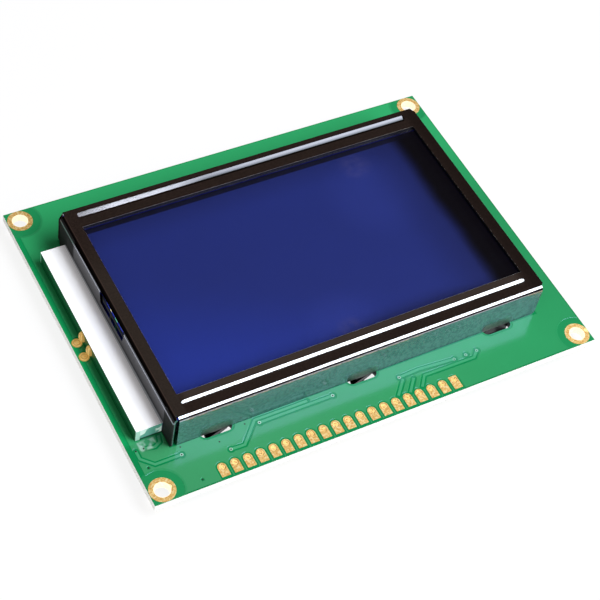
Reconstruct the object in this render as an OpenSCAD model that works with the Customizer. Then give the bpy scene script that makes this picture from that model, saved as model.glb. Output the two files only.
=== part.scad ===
// Graphic liquid crystal display module.
// A circuit board carries the display cell under a folded steel bezel, with an
// edge-lit backlight between them, a row of header pads along the front edge and
// driver chips under resin on the rear.
// The display faces +Z, the long side runs along X, the header is at -Y and the
// bay of the backlight's lamps sticks out at -X. Z is 0 where the rear rests.

/* [Circuit board] */
// Length of the circuit board
board_w = 93; // [86:0.5:110]
// Depth of the circuit board
board_d = 70; // [62:0.5:84]
// Thickness of the circuit board
board_t = 1.6; // [1:0.1:2.4]
// Diameter of the corner mounting holes
mount_hole_d = 3; // [2.2:0.1:3.4]
// Distance from each mounting hole's centre to the board's edges
mount_inset = 2.5; // [2.5:0.1:3.4]
// Outer diameter of the plated rings round the mounting holes
mount_ring_d = 4.9; // [4:0.1:5]
// Thickness of the copper pads and of the plating in the holes
plating_t = 0.05; // [0.03:0.01:0.1]

/* [Header pads] */
// Number of header pads
pin_count = 20; // [4:1:24]
// Distance from pad to pad
pin_pitch = 2.54; // [2.2:0.01:2.6]
// Distance from the board's left edge to the first pad's hole
pin_start = 14; // [10:0.5:20]
// Distance from the board's front edge to the row of holes
pin_setback = 2.55; // [2:0.05:3.5]
// Diameter of the plated holes
pin_hole_d = 1; // [0.8:0.05:1.2]
// Width of a pad
pad_w = 1.7; // [1.5:0.05:1.9]
// Bare strip between the pads' front ends and the board's edge
pad_edge_gap = 0.6; // [0.2:0.05:1]

/* [Bezel] */
// Distance from the board's front and rear edges to the bezel's walls
bezel_setback = 9.8; // [6:0.1:12]
// Height of the bezel's face above the circuit board
bezel_rise = 8; // [7:0.1:10]
// Thickness of the steel sheet
sheet_t = 0.5; // [0.3:0.05:0.6]
// Outer radius of the folds
bend_r = 0.9; // [0.8:0.05:1.2]
// Width of the bezel's face at the ends of the window
border_x = 2.6; // [2.4:0.1:6]
// Width of the bezel's face along the window's long sides
border_y = 4.7; // [4.5:0.1:7]
// Cut across each corner of the flat face
corner_cut = 0.4; // [0.2:0.1:0.8]
// How far a wall's long end laps past the fold at the corner
corner_lap = 0.65; // [0.4:0.05:0.75]
// How far a wall's short end stops before the corner
corner_relief = 0.4; // [0.2:0.05:0.8]
// Radius of the lower corner at a long wall's long end
toe_r = 0.8; // [0.2:0.1:1.2]

/* [Bezel grooves] */
// Width of the grooves that are pressed into the face above the contact strips
groove_w = 2.4; // [2:0.1:2.6]
// Depth of the grooves, in which the sheet is pressed thinner
groove_depth = 0.3; // [0.2:0.01:0.36]
// Clearance between the grooves' backs and the glass
groove_clear = 0.02; // [0.01:0.01:0.1]
// Distance from a groove's end to the bezel's wall
groove_end_gap = 2.6; // [2:0.1:6]

/* [Bezel tabs] */
// Number of twisted tabs along each long wall
tab_count = 3; // [2:1:3]
// Distance from tab to tab
tab_pitch = 30; // [24:0.5:32]
// Width of a tab
tab_w = 5; // [3:0.1:5.4]
// How far a tab runs straight down into its slot before it turns
tab_neck = 0.2; // [0.1:0.05:0.4]
// Height in which a tab makes its first turn
tab_turn_h = 0.5; // [0.3:0.05:0.6]
// How far a tab reaches below the circuit board
tab_reach = 1.4; // [0.8:0.1:1.6]
// Clearance between a tab's edge and the end of its slot
slot_end_gap = 0.6; // [0.4:0.05:1]
// Width of the slots in the circuit board
slot_w = 2.2; // [2.1:0.05:2.6]
// Turn of a tab inside its slot, in degrees
slot_twist = 14; // [6:1:14]
// Turn of a tab's end below the board, in degrees
lock_twist = 42; // [30:1:60]

/* [Bezel side notch] */
// Length of the notch over the cell's filling port
notch_w = 10.6; // [8:0.2:14]
// Height of the notch
notch_h = 2.2; // [1.4:0.1:2.4]
// Edge left between the notch and the top of the wall
notch_edge = 0.25; // [0.15:0.05:0.5]
// Slope of the notch's ends, as a run in its height
notch_slope = 0.5; // [0.2:0.1:1]
// Place of the notch along the wall, from its middle
notch_y = 0.7; // [-4:0.1:4]

/* [Display cell] */
// Thickness of each glass
glass_t = 1.1; // [0.7:0.1:1.1]
// Thickness of each polarizer
polarizer_t = 0.2; // [0.15:0.05:0.3]
// Height of the seal between the glasses
seal_t = 0.1; // [0.05:0.01:0.15]
// Width of the seal
seal_w = 1.2; // [0.8:0.1:1.6]
// Distance from the rear glass's edge to the seal
seal_inset = 0.3; // [0.1:0.1:0.6]
// Width of the filling port in the seal
port_w = 5; // [3:0.5:7]
// Thickness of the resin plug over the port
plug_t = 0.3; // [0.15:0.05:0.35]
// Height of the resin plug
plug_h = 1.5; // [1:0.1:1.8]
// How far the resin plug laps past each side of the port
plug_lap = 1.3; // [0.5:0.1:2]
// Clearance between the glass and the bezel's walls
glass_gap = 0.4; // [0.38:0.02:0.6]
// How far the front polarizer reaches under the window's frame
polarizer_lap = 0.9; // [0.6:0.1:1]
// Clearance between the rear polarizer and the backlight frame
polarizer_gap = 0.3; // [0.2:0.05:0.6]

/* [Contact strips] */
// Width of the rubber contact strips
strip_w = 2.2; // [1.6:0.1:2.4]
// Distance from the front glass's edge to a strip
strip_setback = 0.2; // [0.1:0.05:0.4]
// Clearance between a strip and the backlight frame
strip_gap = 0.2; // [0.1:0.05:0.4]
// Distance from the glass's ends to the strips' ends
strip_end_gap = 1.4; // [0.8:0.1:3]

/* [Backlight] */
// Wall of the backlight frame
frame_wall = 1; // [0.8:0.1:1.2]
// Clearance between the frame and the bezel's walls
frame_gap = 0.3; // [0.2:0.05:0.35]
// How far the lamp bay sticks out of the bezel
bay_reach = 5.1; // [5:0.1:6]
// Height of the lamp bay under its cover film
bay_rise = 2.8; // [2.4:0.1:3]
// Clearance between the lamp bay and the bezel
bay_gap = 0.1; // [0.05:0.05:0.2]
// Thickness of the film that covers the lamp bay
cover_t = 0.1; // [0.05:0.01:0.15]
// Thickness of the reflector film under the light guide
reflector_t = 0.2; // [0.1:0.05:0.3]
// Thickness of the diffuser film over the light guide
diffuser_t = 0.15; // [0.1:0.05:0.3]
// Clearance round the light guide and the films
guide_gap = 0.15; // [0.1:0.05:0.3]

/* [Lamps] */
// Thickness of the lamp board
lamp_board_t = 0.8; // [0.6:0.1:1]
// Number of lamps
lamp_count = 6; // [3:1:8]
// Length of a lamp along its board
lamp_l = 3.6; // [2.8:0.1:4]
// Depth of a lamp, from its board to its face
lamp_d = 1.4; // [1:0.1:1.6]
// Height of a lamp
lamp_h = 1.9; // [1.2:0.1:2]
// Rim round a lamp's lens, and depth of the lens below it
lamp_rim = 0.3; // [0.15:0.05:0.4]
// Margin from the bay's end walls to the row of lamps
lamp_margin = 3; // [1:0.5:5]
// Clearance between the lamps and the light guide
lamp_gap = 0.2; // [0.1:0.05:0.4]
// Distance between the two lamp pads
lamp_pad_pitch = 3.35; // [2.6:0.05:4]
// Width of the pads on the lamp board
lamp_pad_w = 1.5; // [1:0.1:1.8]
// Edge left above and below the lamp board's pads
lamp_pad_edge = 0.2; // [0.1:0.05:0.4]
// Diameter of the round pads on the circuit board beside the lamp bay
feed_pad_d = 2; // [1.6:0.1:2]
// Rise of the solder on the round pads
feed_solder_rise = 0.2; // [0.1:0.05:0.4]
// Bare strip between the round pads and the board's left edge
feed_edge_gap = 0.2; // [0.1:0.05:0.5]
// Clearance between the round pads and the lamp board
feed_bay_gap = 0.1; // [0.06:0.01:0.3]

/* [Rear chips] */
// Rise of the resin over a driver chip
resin_rise = 1.9; // [1.7:0.1:2.4]
// Diameter of the resin on the board
resin_d = 15; // [11:0.5:16]
// Diameter of the flat on top of the resin
resin_flat_d = 4; // [2:0.5:6]
// Distance from the bezel's ends to the column drivers
column_driver_inset_x = 13.8; // [11:0.1:18]
// Distance from the bezel's front wall to the column drivers
column_driver_inset_y = 16; // [12:0.5:20]
// Distance from the bezel's rear wall to the row driver
row_driver_inset = 12; // [10:0.5:16]

/* [Rear chip parts] */
// Number of chip resistors and of chip capacitors in a row
chip_count = 5; // [3:1:5]
// Distance from chip to chip
chip_pitch = 4.4; // [4:0.1:5]
// Length of a chip
chip_l = 2; // [1.6:0.1:2]
// Width of a chip
chip_w = 1.25; // [0.8:0.05:1.4]
// Height of a chip resistor
resistor_h = 0.5; // [0.35:0.05:0.7]
// Height of a chip capacitor
capacitor_h = 0.85; // [0.6:0.05:1.2]
// Length of a solder joint at a chip's end
joint_l = 0.6; // [0.3:0.05:0.8]
// Length of a solder joint's top
joint_lip = 0.1; // [0.05:0.05:0.2]
// Height of a chip's end that stands above its solder joint
joint_drop = 0.1; // [0.05:0.05:0.2]
// Distance from the bezel's front wall to the row of resistors
resistor_row_inset = 7; // [5:0.5:9]
// Distance from the resistors' row to the capacitors' row
chip_row_gap = 4; // [3:0.5:5]

/* [Hidden] */
$fn = 48;
// Facets round a large ball, of which only a low cap is used
ball_fn = 240;
// Facets round the rods that press the grooves
groove_fn = 120;
// Steps of a turned tab's surface on its way down, and the sides of its section
tab_steps = 6;
tab_sides = 4;
// How far a cut reaches past the face that it opens
cut_over = 1;

// Levels from the rear up
board_z0 = resin_rise;
board_z1 = board_z0 + board_t;
bezel_z1 = board_z1 + bezel_rise;
polarizer_z1 = bezel_z1 - sheet_t;
front_glass_z1 = polarizer_z1 - polarizer_t;
front_glass_z0 = front_glass_z1 - glass_t;
rear_glass_z1 = front_glass_z0 - seal_t;
rear_glass_z0 = rear_glass_z1 - glass_t;
bay_z1 = board_z1 + bay_rise;

// The lamp bay and the bezel, from the board's edges inwards
feed_pad_x = -board_w / 2 + feed_edge_gap + feed_pad_d / 2;
bay_x0 = feed_pad_x + feed_pad_d / 2 + feed_bay_gap;
bezel_w = -2 * (bay_x0 + bay_reach);
bezel_d = board_d - 2 * bezel_setback;
window_w = bezel_w - 2 * border_x;
window_d = bezel_d - 2 * border_y;

// Sizes that follow from the bezel, from its walls inwards
flat_w = bezel_w - 2 * bend_r;
flat_d = bezel_d - 2 * bend_r;
bezel_in_x = bezel_w / 2 - sheet_t;
bezel_in_y = bezel_d / 2 - sheet_t;
wall_h = bezel_rise - bend_r;
groove_y = (window_d + bezel_d) / 4;
cell_w = 2 * (bezel_in_x - glass_gap);
front_glass_d = 2 * (bezel_in_y - glass_gap);
strip_y1 = front_glass_d / 2 - strip_setback;
strip_y0 = strip_y1 - strip_w;
frame_y = strip_y0 - strip_gap;
frame_x = bezel_in_x - frame_gap;
frame_in_x = frame_x - frame_wall;
frame_in_y = frame_y - frame_wall;
rear_glass_d = 2 * (frame_y - strip_gap);
seal_x = cell_w / 2 - seal_inset;
seal_y = rear_glass_d / 2 - seal_inset;

// Inside of the lamp bay, from its outer face inwards
lamp_board_x1 = bay_x0 + lamp_board_t;
guide_x0 = lamp_board_x1 + lamp_d + lamp_gap;
bay_wall = frame_wall - guide_gap;

// Tabs and their slots, with the level at which a tab starts to turn
tab_y = bezel_d / 2 - sheet_t / 2;
tab_turn_z1 = board_z1 - tab_neck;
slot_l = tab_w + 2 * slot_end_gap;
tab_x = [for (i = [0 : tab_count - 1]) (i - (tab_count - 1) / 2) * tab_pitch];

pin_hole_y = -board_d / 2 + pin_setback;
pin_x = [for (i = [0 : pin_count - 1]) -board_w / 2 + pin_start + i * pin_pitch];
resistor_row_y = resistor_row_inset - bezel_d / 2;
capacitor_row_y = resistor_row_y + chip_row_gap;
chip_x = [for (i = [0 : chip_count - 1]) (i - (chip_count - 1) / 2) * chip_pitch];

// Colours
mask_green = [0.13, 0.60, 0.35];
gold = [0.88, 0.69, 0.36];
black_paint = [0.13, 0.11, 0.10];
clear_glass = [0.45, 0.55, 0.80];
deep_blue = [0.15, 0.18, 0.42];
milky = [0.86, 0.94, 0.89];
film_white = [0.97, 0.97, 0.97];
lamp_board_green = [0.07, 0.36, 0.20];
dark_resin = [0.10, 0.10, 0.11];
solder_grey = [0.75, 0.76, 0.78];

// Copies at the four corners of the board
module at_corners() {
    for (sx = [-1, 1], sy = [-1, 1])
        translate([sx * (board_w / 2 - mount_inset), sy * (board_d / 2 - mount_inset)]) children();
}

// Copies at every tab, along both long walls
module at_tabs() {
    for (side = [0, 180], x = tab_x)
        rotate(side) translate([x, tab_y]) children();
}

// Box given by its corners
module block(from, to) {
    translate(from) cube(to - from);
}

// Sheet that lies flat, centred on the origin
module sheet(w, d, z0, z1) {
    block([-w / 2, -d / 2, z0], [w / 2, d / 2, z1]);
}

// Slot with round ends along X
module slot_outline(length, width) {
    straight = length - width;
    square([straight, width], center = true);
    for (s = [-1, 1]) translate([s * straight / 2, 0]) circle(d = width);
}

module circuit_board() {
    color(mask_green) translate([0, 0, board_z0]) linear_extrude(board_t) difference() {
        square([board_w, board_d], center = true);
        at_corners() circle(d = mount_hole_d + 2 * plating_t);
        for (x = pin_x) translate([x, pin_hole_y]) circle(d = pin_hole_d + 2 * plating_t);
        at_tabs() slot_outline(slot_l, slot_w);
    }
}

// Plated hole: a ring on each face of the board and a barrel between them
module mounting_rings() {
    bore_r = mount_hole_d / 2;
    barrel_r = bore_r + plating_t;
    ring_r = mount_ring_d / 2;
    top = board_t + plating_t;
    color(gold) translate([0, 0, board_z0]) at_corners() rotate_extrude() polygon([
        [bore_r, -plating_t], [ring_r, -plating_t], [ring_r, 0], [barrel_r, 0],
        [barrel_r, board_t], [ring_r, board_t], [ring_r, top], [bore_r, top]
    ]);
}

// Outline of a header pad: round behind its hole, or square on the marked pad
module pad_outline(square_end) {
    front = pad_edge_gap - pin_setback;
    rear = square_end ? pad_w / 2 : 0;
    translate([-pad_w / 2, front]) square([pad_w, rear - front]);
    if (!square_end) circle(d = pad_w);
}

// Header pads on both faces of the board, joined by their plated barrels
module header_pads() {
    color(gold) for (i = [0 : pin_count - 1]) translate([pin_x[i], pin_hole_y, 0]) difference() {
        union() {
            for (z = [board_z0 - plating_t, board_z1])
                translate([0, 0, z]) linear_extrude(plating_t) pad_outline(i == pin_count - 1);
            translate([0, 0, board_z0]) cylinder(d = pin_hole_d + 2 * plating_t, h = board_t);
        }
        translate([0, 0, board_z0 - cut_over]) cylinder(d = pin_hole_d, h = board_t + 2 * cut_over);
    }
}

// Round pads that feed the lamps, each under a low cap of solder
module feed_pads() {
    r = feed_pad_d / 2;
    cap_r = (r * r + feed_solder_rise * feed_solder_rise) / (2 * feed_solder_rise);
    color(gold) for (s = [-1, 1])
        translate([feed_pad_x, s * lamp_pad_pitch / 2, board_z1]) {
            cylinder(r = r, h = plating_t);
            translate([0, 0, plating_t]) intersection() {
                translate([0, 0, feed_solder_rise - cap_r]) sphere(r = cap_r, $fn = ball_fn);
                cylinder(r = r, h = feed_solder_rise);
            }
        }
}

// Quarter of a round fold, from +X to +Y
module fold_section() {
    intersection() {
        difference() {
            circle(r = bend_r);
            circle(r = bend_r - sheet_t);
        }
        square(bend_r);
    }
}

// Wall outline seen from inside: X along the wall, Y up from the board
module wall_outline(long_end, short_end, toe) {
    translate([long_end, toe]) square([short_end - long_end, wall_h - toe]);
    translate([long_end + toe, 0]) square([short_end - long_end - toe, wall_h]);
    if (toe > 0) translate([long_end + toe, toe]) circle(r = toe);
}

// Necks of the tabs, which run on down from the wall's lower edge
module neck_outline() {
    for (x = tab_x) translate([x - tab_w / 2, -tab_neck]) square([tab_w, tab_neck + wall_h / 2]);
}

// Wall on the +Y side with its fold: half is half the length of the face's edge
module folded_wall(half, outer_y, toe = 0, tabs = false) {
    long_end = -half - corner_lap;
    short_end = half - corner_relief;
    translate([long_end, outer_y - bend_r, bezel_z1 - bend_r])
        rotate([90, 0, 90]) linear_extrude(short_end - long_end) fold_section();
    translate([0, outer_y, board_z1])
        rotate([90, 0, 0]) linear_extrude(sheet_t) difference() {
            union() {
                wall_outline(long_end, short_end, toe);
                if (tabs) neck_outline();
            }
            children();
        }
}

// Notch in the left wall over the filling port
module notch_outline() {
    top = wall_h - notch_edge;
    low = top - notch_h;
    half = notch_w / 2;
    polygon([
        [notch_y - half + notch_slope, low], [notch_y + half - notch_slope, low],
        [notch_y + half, top], [notch_y - half, top]
    ]);
}

// Opening in the left wall for the lamp bay
module bay_outline() {
    half = frame_y + bay_gap;
    high = bay_rise + cover_t + bay_gap;
    translate([-half, -bay_gap]) square([2 * half, high + bay_gap]);
}

// Flat face with its window
module bezel_face() {
    x = flat_w / 2;
    y = flat_d / 2;
    c = corner_cut;
    translate([0, 0, bezel_z1 - sheet_t]) linear_extrude(sheet_t) difference() {
        polygon([
            [c - x, -y], [x - c, -y], [x, c - y], [x, y - c],
            [x - c, y], [c - x, y], [-x, y - c], [-x, c - y]
        ]);
        square([window_w, window_d], center = true);
    }
}

// Rods with ball ends that dip below a level, as wide there as the grooves
module groove_rods(level, dip) {
    straight = bezel_w - 2 * groove_end_gap - groove_w;
    r = (groove_w * groove_w / 4 + dip * dip) / (2 * dip);
    for (s = [-1, 1]) translate([0, s * groove_y, level - dip + r]) {
        translate([-straight / 2, 0, 0]) rotate([0, 90, 0]) cylinder(r = r, h = straight, $fn = groove_fn);
        for (e = [-1, 1]) translate([e * straight / 2, 0, 0]) sphere(r = r, $fn = groove_fn);
    }
}

// Backs of the grooves, below the face
module groove_backs() {
    z = bezel_z1 - sheet_t;
    intersection() {
        groove_rods(z, polarizer_t - groove_clear);
        sheet(bezel_w, bezel_d, z - sheet_t, z);
    }
}

// Stretch of a tab that turns from one angle to another on its way up
module turned_strip(z0, z1, turn0, turn1) {
    translate([0, 0, z0]) rotate(turn0)
        linear_extrude(z1 - z0, twist = turn0 - turn1, slices = tab_steps, segments = tab_sides)
            square([tab_w, sheet_t], center = true);
}

// Tab below its neck: turned a little in its slot, and more below the board to lock
module twisted_tab() {
    turned_z0 = tab_turn_z1 - tab_turn_h;
    turned_strip(turned_z0, tab_turn_z1, slot_twist, 0);
    translate([0, 0, board_z0]) rotate(slot_twist)
        linear_extrude(turned_z0 - board_z0) square([tab_w, sheet_t], center = true);
    turned_strip(board_z0 - tab_reach, board_z0, lock_twist, slot_twist);
}

module bezel() {
    color(black_paint) {
        difference() {
            union() {
                bezel_face();
                groove_backs();
            }
            groove_rods(bezel_z1, groove_depth);
        }
        for (side = [0, 180]) rotate(side) folded_wall(flat_w / 2, bezel_d / 2, toe_r, tabs = true);
        rotate(90) folded_wall(flat_d / 2, bezel_w / 2) {
            notch_outline();
            bay_outline();
        }
        rotate(-90) folded_wall(flat_d / 2, bezel_w / 2);
        at_tabs() twisted_tab();
    }
}

module front_polarizer() {
    color(deep_blue)
        sheet(window_w + 2 * polarizer_lap, window_d + 2 * polarizer_lap, front_glass_z1, polarizer_z1);
}

module front_glass() {
    color(clear_glass) sheet(cell_w, front_glass_d, front_glass_z0, front_glass_z1);
}

// Ring of sealant between the glasses, open at the filling port
module cell_seal() {
    color("dimgray") difference() {
        sheet(2 * seal_x, 2 * seal_y, rear_glass_z1, front_glass_z0);
        crystal_pool(seal_t);
        block([-seal_x - seal_w, notch_y - port_w / 2, rear_glass_z1 - seal_t],
              [-seal_x + 2 * seal_w, notch_y + port_w / 2, front_glass_z0 + seal_t]);
    }
}

// Room inside the seal, taller by spare at both faces
module crystal_pool(spare) {
    sheet(2 * (seal_x - seal_w), 2 * (seal_y - seal_w), rear_glass_z1 - spare, front_glass_z0 + spare);
}

module liquid_crystal() {
    color(deep_blue) {
        crystal_pool(0);
        block([-seal_x, notch_y - port_w / 2, rear_glass_z1],
              [-seal_x + seal_w, notch_y + port_w / 2, front_glass_z0]);
    }
}

module rear_glass() {
    color(clear_glass) sheet(cell_w, rear_glass_d, rear_glass_z0, rear_glass_z1);
}

module rear_polarizer() {
    color(deep_blue)
        sheet(2 * (frame_in_x - polarizer_gap), 2 * (frame_in_y - polarizer_gap),
              rear_glass_z0 - polarizer_t, rear_glass_z0);
}

// Resin plug on the edge of the cell, rounded at both ends
module filling_port_plug() {
    color("lightyellow")
        translate([-cell_w / 2, notch_y, (rear_glass_z1 + front_glass_z0) / 2])
            rotate([90, 0, -90]) linear_extrude(plug_t) slot_outline(port_w + 2 * plug_lap, plug_h);
}

// Striped rubber strip that joins the board to the glass
module contact_strip(side) {
    x = cell_w / 2 - strip_end_gap;
    color("dimgray") rotate(side)
        block([-x, strip_y0, board_z1], [x, strip_y1, front_glass_z0]);
}

module contact_strip_front() {
    contact_strip(180);
}

module contact_strip_rear() {
    contact_strip(0);
}

// Moulded frame that carries the cell, with end walls round the lamp bay
module backlight_frame() {
    color(milky) difference() {
        union() {
            sheet(2 * frame_x, 2 * frame_y, board_z1, rear_glass_z0);
            block([lamp_board_x1, -frame_y, board_z1], [0, frame_y, bay_z1]);
        }
        block([-frame_in_x, -frame_in_y, board_z1 - cut_over],
              [frame_in_x, frame_in_y, rear_glass_z0 + cut_over]);
        block([lamp_board_x1 - cut_over, -frame_y + bay_wall, board_z1 - cut_over],
              [0, frame_y - bay_wall, bay_z1]);
    }
}

module light_guide() {
    color(milky)
        block([guide_x0, -frame_in_y + guide_gap, board_z1 + reflector_t],
              [frame_in_x - guide_gap, frame_in_y - guide_gap, bay_z1]);
}

module diffuser_film() {
    color(deep_blue)
        sheet(2 * (frame_in_x - guide_gap), 2 * (frame_in_y - guide_gap), bay_z1, bay_z1 + diffuser_t);
}

module reflector_film() {
    color(film_white)
        block([guide_x0, -frame_in_y + guide_gap, board_z1],
              [frame_in_x - guide_gap, frame_in_y - guide_gap, board_z1 + reflector_t]);
}

// White film over the lamp bay, up to the frame
module lamp_cover_film() {
    color(film_white)
        block([bay_x0, -frame_y, bay_z1], [-frame_x - guide_gap, frame_y, bay_z1 + cover_t]);
}

// Upright board at the outer side of the lamp bay
module lamp_board() {
    color(lamp_board_green)
        block([bay_x0, -frame_y, board_z1], [lamp_board_x1, frame_y, bay_z1]);
}

module lamp_board_pads() {
    color(gold) for (s = [-1, 1])
        translate([bay_x0 - plating_t, s * lamp_pad_pitch / 2 - lamp_pad_w / 2, board_z1 + lamp_pad_edge])
            cube([plating_t, lamp_pad_w, bay_rise - 2 * lamp_pad_edge]);
}

// Row of side-facing lamps, each a case with a shallow well for its lens
module lamps() {
    row = 2 * (frame_y - bay_wall - lamp_margin) - lamp_l;
    color("ivory") for (i = [0 : lamp_count - 1])
        translate([lamp_board_x1, row * (i / (lamp_count - 1) - 0.5), board_z1 + bay_rise / 2]) difference() {
            translate([0, -lamp_l / 2, -lamp_h / 2]) cube([lamp_d, lamp_l, lamp_h]);
            translate([lamp_d - lamp_rim, lamp_rim - lamp_l / 2, lamp_rim - lamp_h / 2])
                cube([lamp_d, lamp_l - 2 * lamp_rim, lamp_h - 2 * lamp_rim]);
        }
}

// Cap of resin under the board, with a flat where the module rests
module chip_resin(x, y) {
    r0 = resin_d / 2;
    r1 = resin_flat_d / 2;
    // Height of the ball's middle above the rest, from the two circles that it passes through
    rise = (r0 * r0 - r1 * r1 - resin_rise * resin_rise) / (2 * resin_rise);
    ball_r = norm([r0, rise]);
    color(dark_resin) translate([x, y, 0]) intersection() {
        translate([0, 0, resin_rise + rise]) sphere(r = ball_r, $fn = ball_fn);
        cylinder(r = r0, h = resin_rise);
    }
}

module row_driver_resin() {
    chip_resin(0, bezel_d / 2 - row_driver_inset);
}

// Resin over a column driver, on one side of the middle
module column_driver_resin(side) {
    chip_resin(side * (bezel_w / 2 - column_driver_inset_x), column_driver_inset_y - bezel_d / 2);
}

module left_column_driver_resin() {
    column_driver_resin(-1);
}

module right_column_driver_resin() {
    column_driver_resin(1);
}

// Row of chips under the board, towards the header
module chip_row(y, h) {
    for (x = chip_x)
        block([x - chip_w / 2, y - chip_l / 2, board_z0 - h], [x + chip_w / 2, y + chip_l / 2, board_z0]);
}

module chip_resistors() {
    color("darkslategray") chip_row(resistor_row_y, resistor_h);
}

module chip_capacitors() {
    color("tan") chip_row(capacitor_row_y, capacitor_h);
}

// Wedge of solder at each end of the chips in a row
module joint_row(y, h) {
    high = h - joint_drop;
    for (x = chip_x, s = [-1, 1])
        translate([x - s * chip_w / 2, y + s * chip_l / 2, board_z0]) rotate([90, 0, s * 90])
            linear_extrude(chip_w) polygon([[0, 0], [joint_l, 0], [joint_lip, -high], [0, -high]]);
}

module chip_solder_joints() {
    color(solder_grey) {
        joint_row(resistor_row_y, resistor_h);
        joint_row(capacitor_row_y, capacitor_h);
    }
}

circuit_board();
mounting_rings();
header_pads();
feed_pads();
bezel();
front_polarizer();
front_glass();
cell_seal();
liquid_crystal();
rear_glass();
rear_polarizer();
filling_port_plug();
contact_strip_front();
contact_strip_rear();
backlight_frame();
light_guide();
diffuser_film();
reflector_film();
lamp_cover_film();
lamp_board();
lamp_board_pads();
lamps();
row_driver_resin();
left_column_driver_resin();
right_column_driver_resin();
chip_resistors();
chip_capacitors();
chip_solder_joints();
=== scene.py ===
# Looks of a graphic liquid crystal display module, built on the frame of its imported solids.
# Lengths are in metres, and are written in millimetres with MM or mm().
import math

import bmesh
import bpy
from mathutils import Matrix, Vector


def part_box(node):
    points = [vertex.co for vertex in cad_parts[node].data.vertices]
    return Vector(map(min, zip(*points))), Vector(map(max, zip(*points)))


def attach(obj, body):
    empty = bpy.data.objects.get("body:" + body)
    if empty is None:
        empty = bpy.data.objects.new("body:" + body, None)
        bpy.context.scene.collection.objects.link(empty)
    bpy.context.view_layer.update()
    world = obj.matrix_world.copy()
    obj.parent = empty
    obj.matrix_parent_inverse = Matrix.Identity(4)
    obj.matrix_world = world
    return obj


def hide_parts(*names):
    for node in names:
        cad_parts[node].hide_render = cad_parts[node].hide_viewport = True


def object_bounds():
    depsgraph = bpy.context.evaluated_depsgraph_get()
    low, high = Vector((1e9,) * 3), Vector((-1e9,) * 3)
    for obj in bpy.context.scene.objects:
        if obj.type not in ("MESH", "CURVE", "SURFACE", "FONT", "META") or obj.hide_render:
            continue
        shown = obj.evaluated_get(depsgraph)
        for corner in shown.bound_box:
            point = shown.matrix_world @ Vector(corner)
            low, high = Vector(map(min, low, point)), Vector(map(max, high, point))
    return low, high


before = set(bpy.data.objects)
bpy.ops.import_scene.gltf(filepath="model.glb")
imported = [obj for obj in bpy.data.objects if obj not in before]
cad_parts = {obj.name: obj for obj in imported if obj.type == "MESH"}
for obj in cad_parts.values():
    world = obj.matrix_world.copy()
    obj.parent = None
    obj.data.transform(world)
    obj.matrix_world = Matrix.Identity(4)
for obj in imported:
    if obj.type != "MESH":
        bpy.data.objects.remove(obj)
cad_lo, cad_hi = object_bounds()

MM = 0.001
WELD = 1e-7


def mm(*lengths, base=0.0):
    """Lengths given in millimetres from a base."""
    return tuple(base + length * MM for length in lengths)


def in_mm(*path):
    """A path or points given in millimetres."""
    return [mm(x, y) for x, y in path]


# Camera, solved from the board's corners, the mounting holes and the header pads
IMAGE_PX = 600
FOCAL_PX = 1603.4
CENTRE_PX = (282, 270)
SENSOR_MM = 36
CAMERA_PLACE = Vector((-119.29, -155.51, 242.04)) * MM
CAMERA_RIGHT = Vector((0.87912, -0.45944, 0.12676))
CAMERA_DOWN = Vector((-0.28939, -0.72589, -0.62397))
CAMERA_AHEAD = Vector((0.37869, 0.51186, -0.7711))

# Stage
FLOOR_SIZE = 12.0
FLOOR_SHOWN = 0.86
FLOOR_WHITE = 1.02
PAPER_FRONT = mm(-80, -50)
PAPER_REAR = mm(20, 36)
PAPER_RIGHT = mm(48, 56)
AREA_LAMP_SHARE = 4
KEY_TOP = Vector((0.34, 0.05, 0.755))
KEY_LOW = Vector((0.40, -0.80, 0.45))
KEY_WIDTH = 0.44
KEY_RADIANCE = 6.2
KEY_COLOUR = (0.95, 0.98, 1.04)
FILL_START = Vector((-0.9, -0.8, 0.6))
FILL_END = Vector((-0.9, -0.1, 0.6))
FILL_WIDTH = 0.5
FILL_RADIANCE = 1.9
WORLD_COLOUR = (1.0, 0.62, 0.5, 1.0)
WORLD_LEVEL = 0.065

# Bezel: its solid's sizes, with the small play and turn that the photograph shows
BEZEL_X = 39.2 * MM
BEZEL_Y = 25.3 * MM
BEZEL_REAR = 25.4 * MM
BEZEL_PLAY = 0.1 * MM
BEZEL_TURN = 0.0035
SHEET_T = 0.5 * MM
FOLD_REACH = 0.8 * MM
FOLD_DROP = 1.0 * MM
TIGHT_FOLD = 0.2 * MM
WINDOW_X = 36.45 * MM
WINDOW_Y = 20.45 * MM
WINDOW_MIDDLE = mm(0.3, 0.2)
CORNER_CUT = 0.4 * MM
REAR_CUT = 0.9 * MM
LAP_SHOULDER = 1.7 * MM
CORNER_GAP = 0.15 * MM
TOE_R = 0.8 * MM
GROOVE_STRAIGHT = 35.5 * MM
REAR_GROOVE_STRAIGHT = 35.85 * MM
REAR_GROOVE_END = 0.45 * MM
FRONT_GROOVE = mm(-22.85, 1.08, 0.232)
REAR_GROOVE = mm(22.6, 23.25, 24.2)
REAR_GROOVE_DEPTH = 0.32 * MM
GROOVE_RIM = 0.05 * MM
GROOVE_THINNING = 0.4
TAB_X = mm(-30, 0, 30)
TAB_HALF_W = 2.5 * MM
TAB_NECK = 0.2 * MM
TAB_TURN_H = 0.5 * MM
TAB_REACH = 1.4 * MM
SLOT_TWIST = math.radians(14)
LEAST_TWIST = math.radians(2)
LOCK_TWIST = math.radians(42)
NOTCH = mm(-4.6, 6.0)
NOTCH_SLOPE = 0.5 * MM
NOTCH_HEIGHT = mm(4.65, 6.85)
NOTCH_TOP = 0.45 * MM
BAY_HALF = 21.8 * MM
BAY_HEIGHT = 3.0 * MM
EDGE_ROUND = 0.05 * MM

# Display cell
PANE_AIR = 0.004 * MM
GLASS_EDGE = 0.08 * MM
FILM_EDGE = 0.03 * MM

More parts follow.
